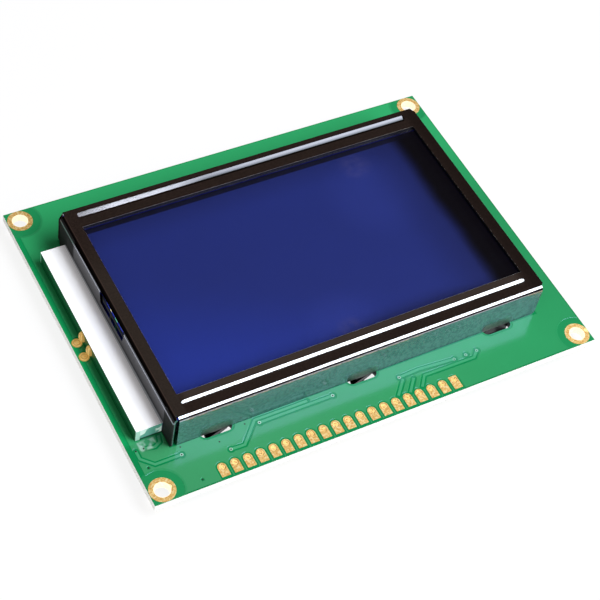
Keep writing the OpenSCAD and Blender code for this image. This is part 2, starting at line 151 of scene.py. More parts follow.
# Lamp board
LAMP_PAD_HALF = 0.75 * MM
LAMP_SOLDER_RISE = 0.75 * MM
LAMP_SOLDER_SPREAD = 1.25

# Header, corner rings and feed pads
RING_PLACE = mm(44, 32.5)
FEED_X = -45.3 * MM
FEED_Y = 1.675 * MM
PIN_FIRST = mm(-32.5, -32.45)
PIN_PITCH = 2.54 * MM
PIN_X = [PIN_FIRST[0] + PIN_PITCH * i for i in range(20)]

# Levels
BOARD_LO, BOARD_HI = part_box("circuit_board")
BOARD_TOP = BOARD_HI.z
BOARD_REAR = BOARD_LO.z
FACE_Z = cad_hi.z - 0.003 * MM

# Copper under the solder mask
COPPER_RISE = 0.04 * MM
TRACK_W = 0.3 * MM
TRACK_SLOPE = 0.1 * MM
TRACK_CLEAR = 0.4 * MM
VIA_R = 0.32 * MM
VIA_HOLE_R = 0.16 * MM
VIA_RISE = 1.3 * COPPER_RISE
VIA_HOLE_LIFT = 0.55 * COPPER_RISE
CUTTER_SIDES = 28
PIN_TRENCH_END = -36 * MM
PIN_TRENCH_R = 1.15 * MM
RING_TRENCH_R = 3.9 * MM
FEED_TRENCH_R = 1.35 * MM
SLOT_Y = 24.95 * MM
SLOT_HALF = 2 * MM
SLOT_TRENCH_R = 1.5 * MM
POUR_INSET = 0.25 * MM
POUR_LEFT_INSET = 1.0 * MM


def linear(code):
    """Linear colour with full alpha from an sRGB code such as 2F9E66."""
    parts = [int(code[i:i + 2], 16) / 255 for i in (0, 2, 4)]
    return tuple(c / 12.92 if c <= 0.04045 else ((c + 0.055) / 1.055) ** 2.4 for c in parts) + (1.0,)


def shaded(code, share):
    """The colour of a code, lighter or darker by a share."""
    return tuple(c * share for c in linear(code)[:3]) + (1.0,)


# Nodes

def operator(operation, reflected=False):
    """A method that adds a Math node, with its operands swapped in the reflected form."""
    def method(self, other=0.0):
        return self.math(operation, *((other, self) if reflected else (self, other)))
    return method


class Value:
    """Output of a node. Python's operators on it add Math nodes."""

    def __init__(self, tree, socket):
        self.tree = tree
        self.socket = socket

    def math(self, operation, first, second):
        node = self.tree.nodes.new("ShaderNodeMath")
        node.operation = operation
        plug(self.tree, node.inputs[0], first)
        plug(self.tree, node.inputs[1], second)
        return Value(self.tree, node.outputs[0])

    __add__ = operator("ADD")
    __radd__ = operator("ADD", True)
    __sub__ = operator("SUBTRACT")
    __rsub__ = operator("SUBTRACT", True)
    __mul__ = operator("MULTIPLY")
    __rmul__ = operator("MULTIPLY", True)
    __truediv__ = operator("DIVIDE")
    __abs__ = operator("ABSOLUTE")
    above = operator("GREATER_THAN")
    most = operator("MAXIMUM")
    fraction = operator("FRACT")


def plug(tree, socket, value):
    """Links a value into a socket, or sets the socket, where a text is the code of a colour."""
    if isinstance(value, Value):
        tree.links.new(value.socket, socket)
    else:
        socket.default_value = linear(value) if isinstance(value, str) else value


def socket_of(sockets, key):
    """A node's socket by its number, or by name among those in use, or the first in use."""
    if isinstance(key, int):
        return sockets[key]
    return next(s for s in sockets if s.enabled and (key is None or s.name == key))


class Nodes:
    """A node tree under construction."""

    def __init__(self, tree):
        self.tree = tree
        self.tree.nodes.clear()

    def node(self, kind, settings=None, sockets=None, output=None):
        """Adds a node: its type, its settings, its sockets' values or links, and the output to use."""
        made = self.tree.nodes.new(kind)
        for key, value in (settings or {}).items():
            setattr(made, key, value)
        for key, value in (sockets or {}).items():
            plug(self.tree, socket_of(made.inputs, key), value)
        return Value(self.tree, socket_of(made.outputs, output)) if made.outputs else None


class Finish(Nodes):
    """A material under construction."""

    def __init__(self, name):
        self.material = bpy.data.materials.new(name)
        self.material.use_nodes = True
        super().__init__(self.material.node_tree)
        self.place = self.node("ShaderNodeTexCoord", output="Object")
        self.x, self.y, self.z = self.parts(self.place)

    def parts(self, vector):
        """The three parts of a vector."""
        split = self.node("ShaderNodeSeparateXYZ", sockets={"Vector": vector}).socket.node
        return [Value(self.tree, s) for s in split.outputs]

    def facing_up(self):
        """How far a face looks up or down, from 0 on a side to 1."""
        normal = self.node("ShaderNodeTexCoord", output="Normal")
        return abs(self.parts(normal)[2])

    def noise(self, scale, detail=2.0, stretch=(1, 1, 1)):
        """Even noise of a scale in waves to the metre."""
        place = self.node("ShaderNodeMapping", sockets={"Vector": self.place, "Scale": stretch})
        return self.node("ShaderNodeTexNoise", sockets={"Vector": place, "Scale": scale, "Detail": detail})

    def ramp(self, value, start, end, low=0.0, high=1.0):
        """A smooth step from low at start to high at end."""
        return self.node("ShaderNodeMapRange", {"interpolation_type": "SMOOTHSTEP"}, {
            "Value": value, "From Min": start, "From Max": end, "To Min": low, "To Max": high})

    def fade(self, value, start, end):
        """A smooth step from 1 at start down to 0 at end."""
        return self.ramp(value, start, end, 1.0, 0.0)

    def band(self, value, start, full, last, end):
        """1 from full to last, with a smooth step on either side."""
        return self.ramp(value, start, full) * self.fade(value, last, end)

    def disc(self, x, y, inner, outer):
        """1 within the inner radius, for offsets x and y from a middle, and 0 past the outer one."""
        return self.fade(x * x + y * y, inner ** 2, outer ** 2)

    def ring(self, x, y, *radii):
        """A band by radius, for offsets x and y from a middle."""
        return self.band(x * x + y * y, *(radius ** 2 for radius in radii))

    def spot(self, x, y, radius):
        """A soft round spot, 1 in its middle."""
        return self.disc(self.x - x, self.y - y, 0.0, radius)

    def from_nearest(self, value, pitch):
        """Offset from the nearest of even stations."""
        turn = value / pitch + 0.5
        return (turn.fraction() - 0.5) * pitch

    def from_corner(self):
        """Offsets from the middle of the nearest corner ring."""
        return abs(self.x) - RING_PLACE[0], abs(self.y) - RING_PLACE[1]

    def tint(self, share, colour, other):
        """A mix of two colours."""
        return self.node("ShaderNodeMix", {"data_type": "RGBA"}, {"Factor": share, "A": colour, "B": other})

    def coats(self, colour, *coats):
        """A colour under coats, each given by its share and its colour, from the lowest up."""
        for share, coat in coats:
            colour = self.tint(share, colour, coat)
        return colour

    def bump(self, height, depth):
        """Normal of a surface with a height in units of depth."""
        return self.node("ShaderNodeBump", sockets={"Height": height, "Distance": depth})

    def shade(self, **sockets):
        """Ends the material in a Principled shader, and gives the material."""
        named = {key.replace("_", " "): value for key, value in sockets.items()}
        shader = self.node("ShaderNodeBsdfPrincipled", sockets=named)
        self.node("ShaderNodeOutputMaterial", sockets={"Surface": shader})
        return self.material


# Finishes

LAMINATE = "F2F4EC"
MASK_GLOSS = (0.42, 0.42, 0.95, 1.0)
FILM_GLOW = (0.38, 0.39, 0.41, 1.0)
BLACK = (0.0, 0.0, 0.0, 1.0)

# Where the board's mask changes: painted sheen before the bezel, painted light to the rear and next to the
# lamp bay, and a painted reflection by the lamp bay
PAINTED_SHEEN_X = mm(-30, 44)
PAINTED_SHEEN_Y = mm(-28, 0)
PAINTED_REAR_LIGHT_Y = mm(0, 30)
BESIDE_BAY_X = mm(-46.2, -44.2)
BESIDE_BAY_END = mm(21, 23)
BAY_SIDE_X = mm(-44.2, -43.8)
BAY_MIRROR_X = -42.6 * MM
BAY_MIRROR_HALF = mm(1.4, 1.8)
BAY_MIRROR_Y = mm(-24.4, -24.0, -22.2, -22.0)
FILLED_VIAS_X = mm(2, 12)
CORNER_FIELD = mm(4.2, 4.4)
CUT_SIDE = mm(-0.2, -0.05)

# Where the gold changes, with its painted light and shade: barrels and rims of the header pads, the corner
# holes and the feed pads
PIN_BARREL = mm(0.51, 0.54)
PIN_RIM = mm(0.5, 0.54, 0.62, 0.7)
PIN_SHADED = mm(0, 0.3)
CORNER_HOLE = mm(1.52, 1.6)
FEED_RIGHT = mm(-44.0, -43.8)
FEED_END = mm(4, 5)
FEED_DENT = mm(0.4, 0.55, 0.6, 0.75)
FEED_RIM = mm(0.82, 0.95)

# Where the bezel's plating changes, and where its painted highlights, reflections and shade lie, on its face
# by x and y, and on its walls by z
CUT_EDGE = mm(0.01, 0.04)
RIM_EDGE = mm(0.02, 0.08)
RIM_Z = mm(-0.1, -0.05, base=FACE_Z)
RIM_HIGHLIGHT_REAR_Y = mm(20, 20.4)
LIP_Y = mm(-21.75, -21.6, -20.2, -20.1)
LIP_END = mm(34, 37)
RIGHT_RAIL_X = mm(35.5, 38)
LEFT_RAIL_X = mm(-36.3, -35.9)
LEFT_RAIL_Y = mm(6, 18)
FLANK_Y = mm(23.15, 23.25, 24.2, 24.3)
FLANK_END = mm(0.3, 0.5, base=REAR_GROOVE_STRAIGHT)
FLANK_LIGHT_Y = mm(23.25, 23.9)
FLANK_LIGHT_X = mm(-30, -8)
LAMP_WALL_X = mm(0.3, 0.8, base=-BEZEL_X)
LAMP_WALL_LINE = mm(-1.1, -0.95, -0.7, -0.6, base=FACE_Z)
FRONT_WALL_Y = mm(-25.1, -24.9)
SLOT_MOUTH_Z = mm(-0.1, 0.1, base=BOARD_TOP)
LEFT_FOLD_X = mm(-39.0, -38.9, -38.45, -38.4)
LEFT_SEAM_X = mm(-38.38, -38.34, -38.24, -38.2)
NOOK_X = mm(-38.9, -38.7)
REAR_NOOK_Y = mm(17.4, 18.4)
FRONT_NOOK_Y = mm(-21.9, -21.6)
TAB_REFLECTION_HALF = mm(2.2, 3.6)
TAB_REFLECTION_Z = mm(1.0, 2.4, base=BOARD_TOP)

# Where the films, the frame's bay and the lamp board change, with the polarizer's painted shade, the white
# film's painted light and shade by the wall, and a painted glint on the plug
FILM_SHADE_X = mm(31, 34)
FILM_WALL_SHADE_X = mm(-0.35, -0.1, base=-BEZEL_X)
FILM_LIT_X = mm(-2.1, -0.1, base=-BEZEL_X)
BAY_X = mm(-0.1, 0.1, base=-BEZEL_X)
BAY_JOINT_Z = mm(0.25, 0.45, base=BOARD_TOP)
LAMP_BOARD_END = mm(21.4, 21.7)
GREEN_SPOT = mm(0.45, 0.6)
PALE_GLINT_Y = 2.4 * MM
PALE_GLINT = mm(0.25, 0.4)

# Where the display's blue changes; painted glows and blotches by x, y and radius, and painted shade along its
# edges
BLUE_SLANT = 0.44
BLUE_SPAN = mm(-30, -6)
FRONT_GLOW = mm(0, -17, 9)
RIGHT_GLOW = mm(21, 9, 12)
FRONT_BLOTCH = mm(0.5, -18.6, 3.5)
RIGHT_BLOTCH = mm(21, 17, 4)
DIM_FRONT_Y = mm(-19.5, -15)
DIM_FRONT_X = mm(-6, 9)
DIM_RIGHT_X = mm(20, 31)
DIM_REAR_Y = mm(14, 21)
DARK_END_X = mm(30.8, 35)
DARK_END_DRIFT = 2 * MM


def mask_finish(name, colour, depth, painted_sheen=0.06, slope=0.0, filled=0.0):
    """Glossy green solder mask on the board's faces, with uncoated laminate on its cut sides, and with
    painted light and shade: a sheen before the bezel, lighter towards the rear and next to the lamp bay, a
    reflection by the bay's front end, highlights on sloping sides, shade inside the slots and holes, and a
    glow on the outer cut sides.
    """
    f = Finish(name)
    cloud = f.noise(90, 3.0)
    # Painted sheen: the mask is paler towards the front and the left of the board.
    pale = f.ramp(f.y, *PAINTED_SHEEN_Y, painted_sheen, 0.0) * f.ramp(f.x, *PAINTED_SHEEN_X, 1.0, 0.1)
    # Painted light: the strip left of the lamp bay is lighter, fading at the bay's side.
    painted_light_by_bay = f.ramp(f.x, *BESIDE_BAY_X, 1.0, 0.4) * f.fade(abs(f.y), *BESIDE_BAY_END)
    # Painted reflection: a pale patch by the lamp bay's front end, broken up by noise.
    mirror = f.fade(abs(f.x - BAY_MIRROR_X), *BAY_MIRROR_HALF) * f.band(f.y, *BAY_MIRROR_Y)
    mask = f.coats(
        f.tint(cloud, shaded(colour, 0.9), shaded(colour, 1.1)),
        (f.noise(5200) * 0.25, shaded(colour, 1.25)),
        (pale, "B0C8B8"),
        # Painted light: the mask is lighter towards the rear.
        (f.ramp(f.y, *PAINTED_REAR_LIGHT_Y), shaded(colour, 1.42)),
        (painted_light_by_bay * f.fade(f.x, *BAY_SIDE_X), shaded(colour, 1.8)),
        (mirror * f.ramp(f.noise(420), 0.44, 0.56) * 0.55, "C8E4D8"),
        (f.ramp(f.x, *FILLED_VIAS_X, 0.0, filled), "4FA880"),
        # Painted highlight: pale on sloping sides, by the share given for slopes.
        (f.ramp(f.facing_up(), 0.95, 0.99, slope, 0.0), "C0E8D8"),
        (f.disc(*f.from_corner(), *CORNER_FIELD) * 0.6, "2B945A"))
    layers = f.noise(900, 2.0, (0.15, 0.15, 9))
    # Painted shade: cut sides inside the board, in its slots and holes, are dark. Painted light: its outer
    # cut sides are pale laminate that glows.
    outer = f.ramp((abs(f.x) - BOARD_HI.x).most(abs(f.y) - BOARD_HI.y), *CUT_SIDE)
    side = f.tint(outer, "2A3A2C", f.tint(layers, shaded(LAMINATE, 0.8), LAMINATE))
    flat = f.facing_up().above(0.5)
    glow = f.tint((1 - flat) * outer, BLACK, shaded(LAMINATE, 0.25))
    ripple = f.noise(700) + f.noise(2600, 1.0) * 0.3
    return f.shade(Base_Color=f.tint(flat, side, mask), Roughness=0.6 - flat * (0.46 - 0.06 * cloud),
                   IOR=1.48, Specular_Tint=MASK_GLOSS, Normal=f.bump(ripple, depth),
                   Emission_Color=glow, Emission_Strength=1.0)


def painted_hole_shade():
    """Painted shade inside the vias, lighter towards the right, where they are filled with mask."""
    f = Finish("hole_shade")
    grain = f.noise(900, 3.0)
    colour = f.tint(grain, "06140C", "0B2415")
    colour = f.tint(f.ramp(f.x, *FILLED_VIAS_X, 0.0, 0.7), colour, "2E8C5C")
    return f.shade(Base_Color=colour, Roughness=0.4 + 0.2 * grain, Normal=f.bump(grain, 0.004 * MM))


def gold_finish():
    """Matt gold plating with a speckled grain, with painted light glowing inside its holes and over the feed
    pads, and painted shade on one side of the pads' rims and in the feed pads' dents.
    """
    f = Finish("gold_plating")
    grain = f.noise(7000, 3.0)
    mottle = f.noise(2300)
    speck = f.ramp(f.noise(2600, 1.0), 0.53, 0.62, 1.0, 0.3)
    across = f.from_nearest(f.x - PIN_FIRST[0], PIN_PITCH)
    along = f.y - PIN_FIRST[1]
    barrel = f.disc(across, along, *PIN_BARREL)
    rim = f.ring(across, along, *PIN_RIM) * f.ramp(across, *PIN_SHADED)
    feed = f.fade(f.x, *FEED_RIGHT) * f.fade(abs(f.y), *FEED_END)
    off = (f.x - FEED_X, abs(f.y) - FEED_Y)
    colour = f.coats(
        f.tint(f.ramp(grain, 0.3, 0.7), "D9A34C", "F2D084"),
        (f.ramp(f.noise(1500, 3.0), 0.55, 0.7) * 0.6, "D0903E"),
        (f.ramp(mottle, 0.52, 0.6, 0.0, 0.65), "F9E6AA"),
        (f.ramp(mottle, 0.36, 0.43, 0.55, 0.0), "C4883A"),
        # Painted shade: the header pads' rims darker on their right side, and the barrels darker between
        # specks of painted light.
        (rim * 0.55, "8C6424"),
        (barrel * (1 - speck), "9A7A34"),
        (feed * f.ramp(f.noise(2400, 3.0), 0.42, 0.6, 0.0, 0.5), "B88838"),
        # Painted shade in the feed pads' dents, and darker past their rims.
        (feed * f.ring(*off, *FEED_DENT) * 0.7, "8C5C1E"),
        (feed * (1 - f.disc(*off, *FEED_RIM)) * 0.7, "7A4E18"))
    # Painted light: the barrels, the corner holes and the feed pads glow.
    glow = f.coats(
        BLACK,
        (barrel * speck, shaded("F2E6A6", 0.55)),
        (f.disc(*f.from_corner(), *CORNER_HOLE), shaded("FFFAEC", 0.75)),
        (feed, shaded("E8C068", 0.34)))
    return f.shade(Base_Color=colour, Metallic=0.25, Roughness=f.ramp(grain, 0.3, 0.7, 0.38, 0.55),
                   Normal=f.bump(grain, 0.006 * MM), Emission_Color=glow, Emission_Strength=1.0)


def bezel_finish():
    """Dark reflective plating on steel, darker and rougher on cut edges, with painted light and shade:
    highlights in specks on the window's rim and along its rear edge, a sheen before the window, a lighter
    left rail and darker right rail, the rear groove's flank toned to set its highlight, grey on the lamp side
    and front walls, darker and lighter to set how much they reflect, a lighter line on the lamp side wall,
    shade in the slots, on the left fold and black in the lamp side wall's corners, a highlight on the left
    seam, and a green reflection round the tabs."""
    f = Finish("black_plating")
    x = f.x + BEZEL_TURN * (f.y + BEZEL_Y)
    y = f.y - BEZEL_TURN * (f.x + BEZEL_X)
    top = f.ramp(f.facing_up(), 0.03, 0.12)
    wall = 1 - top
    cloud = f.noise(220, 4.0)
    grain = f.noise(9000)
    out = (abs(x - WINDOW_MIDDLE[0]) - WINDOW_X).most(abs(y - WINDOW_MIDDLE[1]) - WINDOW_Y)
    cut = f.fade(out, *CUT_EDGE)
    rim = f.fade(out, *RIM_EDGE) * f.ramp(f.z, *RIM_Z)
    # Painted highlight: specks of light metal along the window's rim, and a line along its rear edge.
    rim_highlight = f.ramp(f.noise(2200, 3.0), 0.48, 0.58).most(f.ramp(y, *RIM_HIGHLIGHT_REAR_Y, 0.0, 0.7))
    # Painted sheen: lighter on the strip between the front groove and the window.
    lip = f.band(y, *LIP_Y) * f.fade(abs(x), *LIP_END)
    # Painted light: the face's left rail is lighter towards the front.
    left = f.fade(x, *LEFT_RAIL_X) * f.ramp(y, *LEFT_RAIL_Y, 0.26, 0.0)
    # Painted highlight: the rear groove's lit flank is darker to dim its highlight, lighter towards the left
    # to keep it bright there, and smoother.
    painted_flank_light = f.band(y, *FLANK_Y) * f.fade(abs(x), *FLANK_END)
    flank_light_level = f.tint(f.ramp(y, *FLANK_LIGHT_Y), "303336", "535459")
    # Painted shade and light: the lamp side wall is darker and the front wall lighter, with noise, so that
    # they reflect less and more.
    lamp_wall = f.fade(x, *LAMP_WALL_X)
    front = wall * f.fade(y, *FRONT_WALL_Y)
    # Painted shade inside the slots, below the board's face.
    slot_shade = f.fade(f.z, *SLOT_MOUTH_Z)
    # Painted reflection: a lighter, less metallic line along the lamp side wall below its fold.
    line = f.band(f.z, *LAMP_WALL_LINE) * lamp_wall
    # Painted shade: the lamp side wall is black, matt and not metallic towards its front and rear corners.
    nook_shade = f.ramp(y, *REAR_NOOK_Y).most(f.fade(y, *FRONT_NOOK_Y)) * (1 - line) * f.fade(x, *NOOK_X)
    off_tab = abs(f.from_nearest(x, TAB_X[2]))
    # Painted reflection: a green patch low on the walls round each tab, where they are also rougher.
    tab_reflection = f.fade(off_tab, *TAB_REFLECTION_HALF) * f.fade(f.z, *TAB_REFLECTION_Z) * (1 - slot_shade)
    colour = f.coats(
        f.tint(cloud, "A2A6A8", "AEB2B4"),
        (f.ramp(f.noise(3800, 3.0), 0.35, 0.65, 0.0, 0.5), "686A6C"),
        (cut, "3C3D44"),
        (rim * rim_highlight, "E4E0D8"),
        (lip * 0.7, "E6F8FF"),
        # Painted shade: the face's right rail is darker.
        (f.ramp(x, *RIGHT_RAIL_X) * 0.5, "606264"),
        (left, "E0FFFF"),
        (painted_flank_light, f.tint(f.fade(x, *FLANK_LIGHT_X), flank_light_level, "B0B1B8")),
        (lamp_wall, "46494E"),
        (front * 0.7, "B2BAB8"),
        (front * f.ramp(f.noise(1700, 6.0), 0.42, 0.62) * 0.6, "7C8482"),
        (slot_shade, "2A2C30"),
        # Painted shade on the left fold, and a painted highlight along the left seam.
        (f.band(x, *LEFT_FOLD_X) * top * 0.85, "101114"),
        (f.band(x, *LEFT_SEAM_X) * top * 0.4, "FFFFFF"),
        (line * 0.8, "A0A4B0"),
        (nook_shade, "0C0D0F"),
        (tab_reflection * wall * 0.5, "7CA08C"))
    rough = 0.07 + 0.04 * cloud + wall * (0.15 + tab_reflection * 0.3) + cut * 0.3 + nook_shade * 0.6
    relief = (grain + f.noise(500) * 2.0) * (1 - painted_flank_light * 0.8)
    return f.shade(Base_Color=colour, Metallic=1 - nook_shade.most(line * 0.6), Roughness=rough,
                   Normal=f.bump(relief, 0.0012 * MM))


def polarizer_finish():
    """Glossy tinted film that the crystal shows through, more opaque over the display's right end as painted
    shade.
    """
    f = Finish("polarizer_film")
    streak = f.noise(300, 2.0, (0.2, 2.0, 1.0))
    colour = f.tint(streak, "08080E", "0C0C14")
    # Painted shade: the film turns more opaque towards the display's right end.
    return f.shade(Base_Color=colour, Roughness=0.07 + 0.05 * streak, IOR=1.5,
                   Alpha=f.ramp(f.x, *FILM_SHADE_X, 0.22, 0.5), Normal=f.bump(streak, 0.001 * MM))


def glass_finish():
    """Clear glass whose cut edges are painted bright blue and glow with painted light, as from the display.
    """
    f = Finish("cell_glass")
    flat = f.facing_up().above(0.5)
    chips = f.noise(2200, 3.0)
    edge = f.tint(f.ramp(chips, 0.45, 0.7), "2A3CD8", "5A6CE0")
    colour = f.tint(flat, edge, "10162C")
    # Painted light: the cut edges glow blue.
    glow = f.tint(flat, shaded("2030C0", 0.25), BLACK)
    return f.shade(Base_Color=colour, Roughness=0.04 + (1 - flat) * 0.3, Alpha=0.96 - flat * 0.92,
                   Emission_Color=glow, Emission_Strength=1.0)


def film_finish():
    """White film that glows with painted light, fading towards the bezel's wall, and painted dark as shade
    right next to the wall.
    """
    f = Finish("white_film")
    fibre = f.noise(700, 3.0)
    colour = f.tint(fibre, "F4F5F6", "FCFCFC")
    # Painted light: the film glows, less towards the bezel's wall; painted shade right next to the wall.
    lit = f.ramp(f.x, *FILM_LIT_X, 1.0, 0.3)
    return f.shade(Base_Color=f.tint(f.ramp(f.x, *FILM_WALL_SHADE_X), colour, "1A1C22"),
                   Roughness=0.35 + 0.15 * fibre, Normal=f.bump(fibre, 0.003 * MM),
                   Emission_Color=f.tint(lit, BLACK, FILM_GLOW), Emission_Strength=1.0)


def milky_finish():
    """Milky plastic, paler in patches, with a dark joint on the board, that glows outside the bezel with
    painted light standing for the light it scatters.
    """
    f = Finish("milky_plastic")
    patch = f.ramp(f.noise(420), 0.5, 0.6)
    milk = f.tint(patch, "5A9C8B", "CFE6DC")
    bay = f.fade(f.x, *BAY_X)
    joint = f.ramp(f.z, *BAY_JOINT_Z)
    colour = f.tint(joint, "1C3A2C", f.tint(bay, "26366E", milk))
    # Painted light: the plastic glows outside the bezel.
    return f.shade(Base_Color=colour, Roughness=0.12 + 0.1 * patch,
                   Emission_Color=f.tint(bay, BLACK, colour), Emission_Strength=0.45,
                   Normal=f.bump(f.noise(900), 0.01 * MM))


def lamp_board_finish():
    """Dark green mask on the lamp board, with pale cut ends that glow with painted light."""
    f = Finish("lamp_board_mask")
    drift = f.noise(700, 3.0)
    mask = f.tint(drift, "115C33", "1A7243")
    end = f.ramp(abs(f.y), *LAMP_BOARD_END)
    # Painted light: the cut ends glow.
    return f.shade(Base_Color=f.tint(end, mask, "A8D4C4"), Roughness=0.25 + 0.15 * drift,
                   Emission_Color=f.tint(end, BLACK, shaded("A8D4C4", 0.3)), Emission_Strength=1.0,
                   Normal=f.bump(drift, 0.004 * MM))


def plug_finish():
    """Clear resin over the filling port, painted blue and glowing with painted light as from the cell behind
    it, with a green spot and a pale painted glint.
    """
    f = Finish("plug_resin")
    blue = f.tint(f.noise(1500, 3.0), "1C2CB0", "4054D8")
    resin_colour = f.tint(f.ramp(abs(f.y), *GREEN_SPOT), "6CD0A0", blue)
    resin_colour = f.tint(f.ramp(abs(f.y - PALE_GLINT_Y), *PALE_GLINT), "F0EAC0", resin_colour)
    # Painted light: the resin glows with its own colours.
    return f.shade(Base_Color=resin_colour, Roughness=0.25, Emission_Color=resin_colour, Emission_Strength=0.25,
                   Normal=f.bump(f.noise(1200, 3.0), 0.02 * MM))


def crystal_finish():
    """Blue field of the display, with painted glows and blotches, and painted shade along its front, right
    and rear edges that turns near black at its right end.
    """
    f = Finish("crystal_field")
    blotch = f.spot(*FRONT_BLOTCH).most(f.spot(*RIGHT_BLOTCH))
    edge = f.fade(f.y, *DIM_FRONT_Y) * f.ramp(f.x, *DIM_FRONT_X, 0.2, 0.6)
    blue = f.coats(
        f.tint(f.ramp(f.x * BLUE_SLANT + f.y, *BLUE_SPAN), "3A58E8", "364AB4"),
        (f.noise(55) * 0.5, "3850C8"),
        ((f.spot(*FRONT_GLOW) + f.spot(*RIGHT_GLOW)) * 0.25, "5066E8"),
        (blotch * f.ramp(f.noise(900), 0.3, 0.7, 0.05, 0.4), "7C7CD0"),
        # Painted shade along the front, right and rear edges, and near black at the right end.
        (edge.most(f.ramp(f.x, *DIM_RIGHT_X) * 0.55), "202C74"),
        (f.ramp(f.y, *DIM_REAR_Y) * 0.45, "202C70"),
        (f.ramp(f.x + f.noise(120, 1.0) * DARK_END_DRIFT, *DARK_END_X), "0A0A12"))
    return f.shade(Base_Color=blue, Roughness=0.5)


def plain_finish(name, dark, light, scale, rough=(0.4, 0.6), depth=0.004, **more):
    """A finish that drifts between two colours, with a matching roughness and relief."""
    f = Finish(name)
    drift = f.noise(scale, 3.0)
    grain = f.noise(scale * 7, 2.0)
    share = f.ramp(drift * 0.7 + grain * 0.3, 0.3, 0.7)
    return f.shade(Base_Color=f.tint(share, dark, light),
                   Roughness=f.ramp(grain, 0.3, 0.7, *rough),
                   Normal=f.bump(drift + grain * 0.4, depth * MM), **more)


def strip_finish():
    """Silicone strip with its thin layers of carbon across it."""
    f = Finish("striped_rubber")
    wave = f.node("ShaderNodeTexWave", {"bands_direction": "X"}, {"Vector": f.place, "Scale": 900.0})
    colour = f.tint(f.ramp(wave, 0.35, 0.65), "1B1C20", "8C8E93")
    dust = f.noise(2500)
    return f.shade(Base_Color=f.tint(dust * 0.2, colour, "B5B5B8"), Roughness=0.6,
                   Normal=f.bump(wave, 0.01 * MM))


# Stage, lights and camera

def make_camera():
    """Camera of the photograph, with the small shift of its frame."""
    data = bpy.data.cameras.new("camera")
    data.sensor_width = SENSOR_MM
    data.lens = FOCAL_PX * SENSOR_MM / IMAGE_PX
    data.shift_x = (IMAGE_PX / 2 - CENTRE_PX[0]) / IMAGE_PX
    data.shift_y = (CENTRE_PX[1] - IMAGE_PX / 2) / IMAGE_PX
    data.clip_start = 0.01
    camera = bpy.data.objects.new("camera", data)
    bpy.context.scene.collection.objects.link(camera)
    turn = Matrix((CAMERA_RIGHT, -CAMERA_DOWN, -CAMERA_AHEAD)).transposed()
    camera.matrix_world = Matrix.Translation(CAMERA_PLACE) @ turn.to_4x4()
    bpy.context.scene.camera = camera


def softbox(name, start, end, width, radiance, colour=(1, 1, 1)):
    """Flat lamp from one end of its middle line to the other, facing the object, given by its radiance."""
    data = bpy.data.lights.new(name, "AREA")
    data.shape = "RECTANGLE"
    data.size = (end - start).length
    data.size_y = width
    data.energy = AREA_LAMP_SHARE * data.size * width * radiance
    data.color = colour
    lamp = bpy.data.objects.new(name, data)
    bpy.context.scene.collection.objects.link(lamp)
    middle = (start + end) / 2
    along = (end - start).normalized()
    back = (middle - along * middle.dot(along)).normalized()
    turn = Matrix((along, back.cross(along), back)).transposed()
    lamp.matrix_world = Matrix.Translation(middle) @ turn.to_4x4()


def make_floor():
    """White floor that the lens sees as white and that keeps the shadow; metal and glass see it white over a
    patch from in front of the object to near its rear, ending just past its right side, and painted dark grey
    as shade elsewhere.
    """
    half, z = FLOOR_SIZE / 2, cad_lo.z
    corners = [(-half, -half, z), (half, -half, z), (half, half, z), (-half, half, z)]
    mesh = bpy.data.meshes.new("floor")
    mesh.from_pydata(corners, [], [(0, 1, 2, 3)])
    floor = bpy.data.objects.new("floor", mesh)
    bpy.context.scene.collection.objects.link(floor)
    f = Finish("floor_paper")
    ray = f.node("ShaderNodeLightPath")
    rays = {s.name: Value(f.tree, s) for s in ray.socket.node.outputs}
    near = f.band(f.y, *PAPER_FRONT, *PAPER_REAR) * f.fade(f.x, *PAPER_RIGHT)
    mirrored = rays["Is Glossy Ray"].most(rays["Is Transmission Ray"])
    seen = rays["Is Camera Ray"].most(mirrored * near)
    colour = f.tint(f.noise(3000), "F0F0F0", "FAFAFA")
    # Painted shade: metal and glass see the floor dark grey outside the patch.
    colour = f.tint(mirrored * (1 - near), colour, "202020")
    paper = f.node("ShaderNodeBsdfPrincipled", sockets={
        "Base Color": colour, "Roughness": 1.0, "Specular IOR Level": 0.0})
    white = f.node("ShaderNodeEmission", sockets={"Color": (1, 1, 1, 1), "Strength": FLOOR_WHITE})
    mixed = f.node("ShaderNodeMixShader", sockets={"Fac": seen * FLOOR_SHOWN, 1: paper, 2: white})
    f.node("ShaderNodeOutputMaterial", sockets={"Surface": mixed})
    mesh.materials.append(f.material)


def make_world():
    """Dim even surroundings."""
    world = bpy.data.worlds.new("studio")
    bpy.context.scene.world = world
    world.use_nodes = True
    background = world.node_tree.nodes["Background"]
    background.inputs["Color"].default_value = WORLD_COLOUR
    background.inputs["Strength"].default_value = WORLD_LEVEL


def make_lights():
    """Long softbox from overhead down to the front, and a weak fill from the left."""
    softbox("key_softbox", KEY_TOP, KEY_LOW, KEY_WIDTH, KEY_RADIANCE, KEY_COLOUR)
    softbox("left_fill", FILL_START, FILL_END, FILL_WIDTH, FILL_RADIANCE)


# Meshes

class Sheet:
    """Mesh under construction whose corners are shared wherever they meet."""

    def __init__(self):
        self.mesh = bmesh.new()
        self.corners = {}

    def corner(self, place):
        key = tuple(round(c / WELD) for c in place)
        if key not in self.corners:
            self.corners[key] = self.mesh.verts.new(place)
        return self.corners[key]

    def face(self, *places):
        self.mesh.faces.new([self.corner(p) for p in places])


def object_of(made, name, material=None):
    """An object of the scene from a bmesh."""
    data = bpy.data.meshes.new(name)
    made.to_mesh(data)
    made.free()
    if material:
        data.materials.append(material)
    piece = bpy.data.objects.new(name, data)
    bpy.context.scene.collection.objects.link(piece)
    return piece


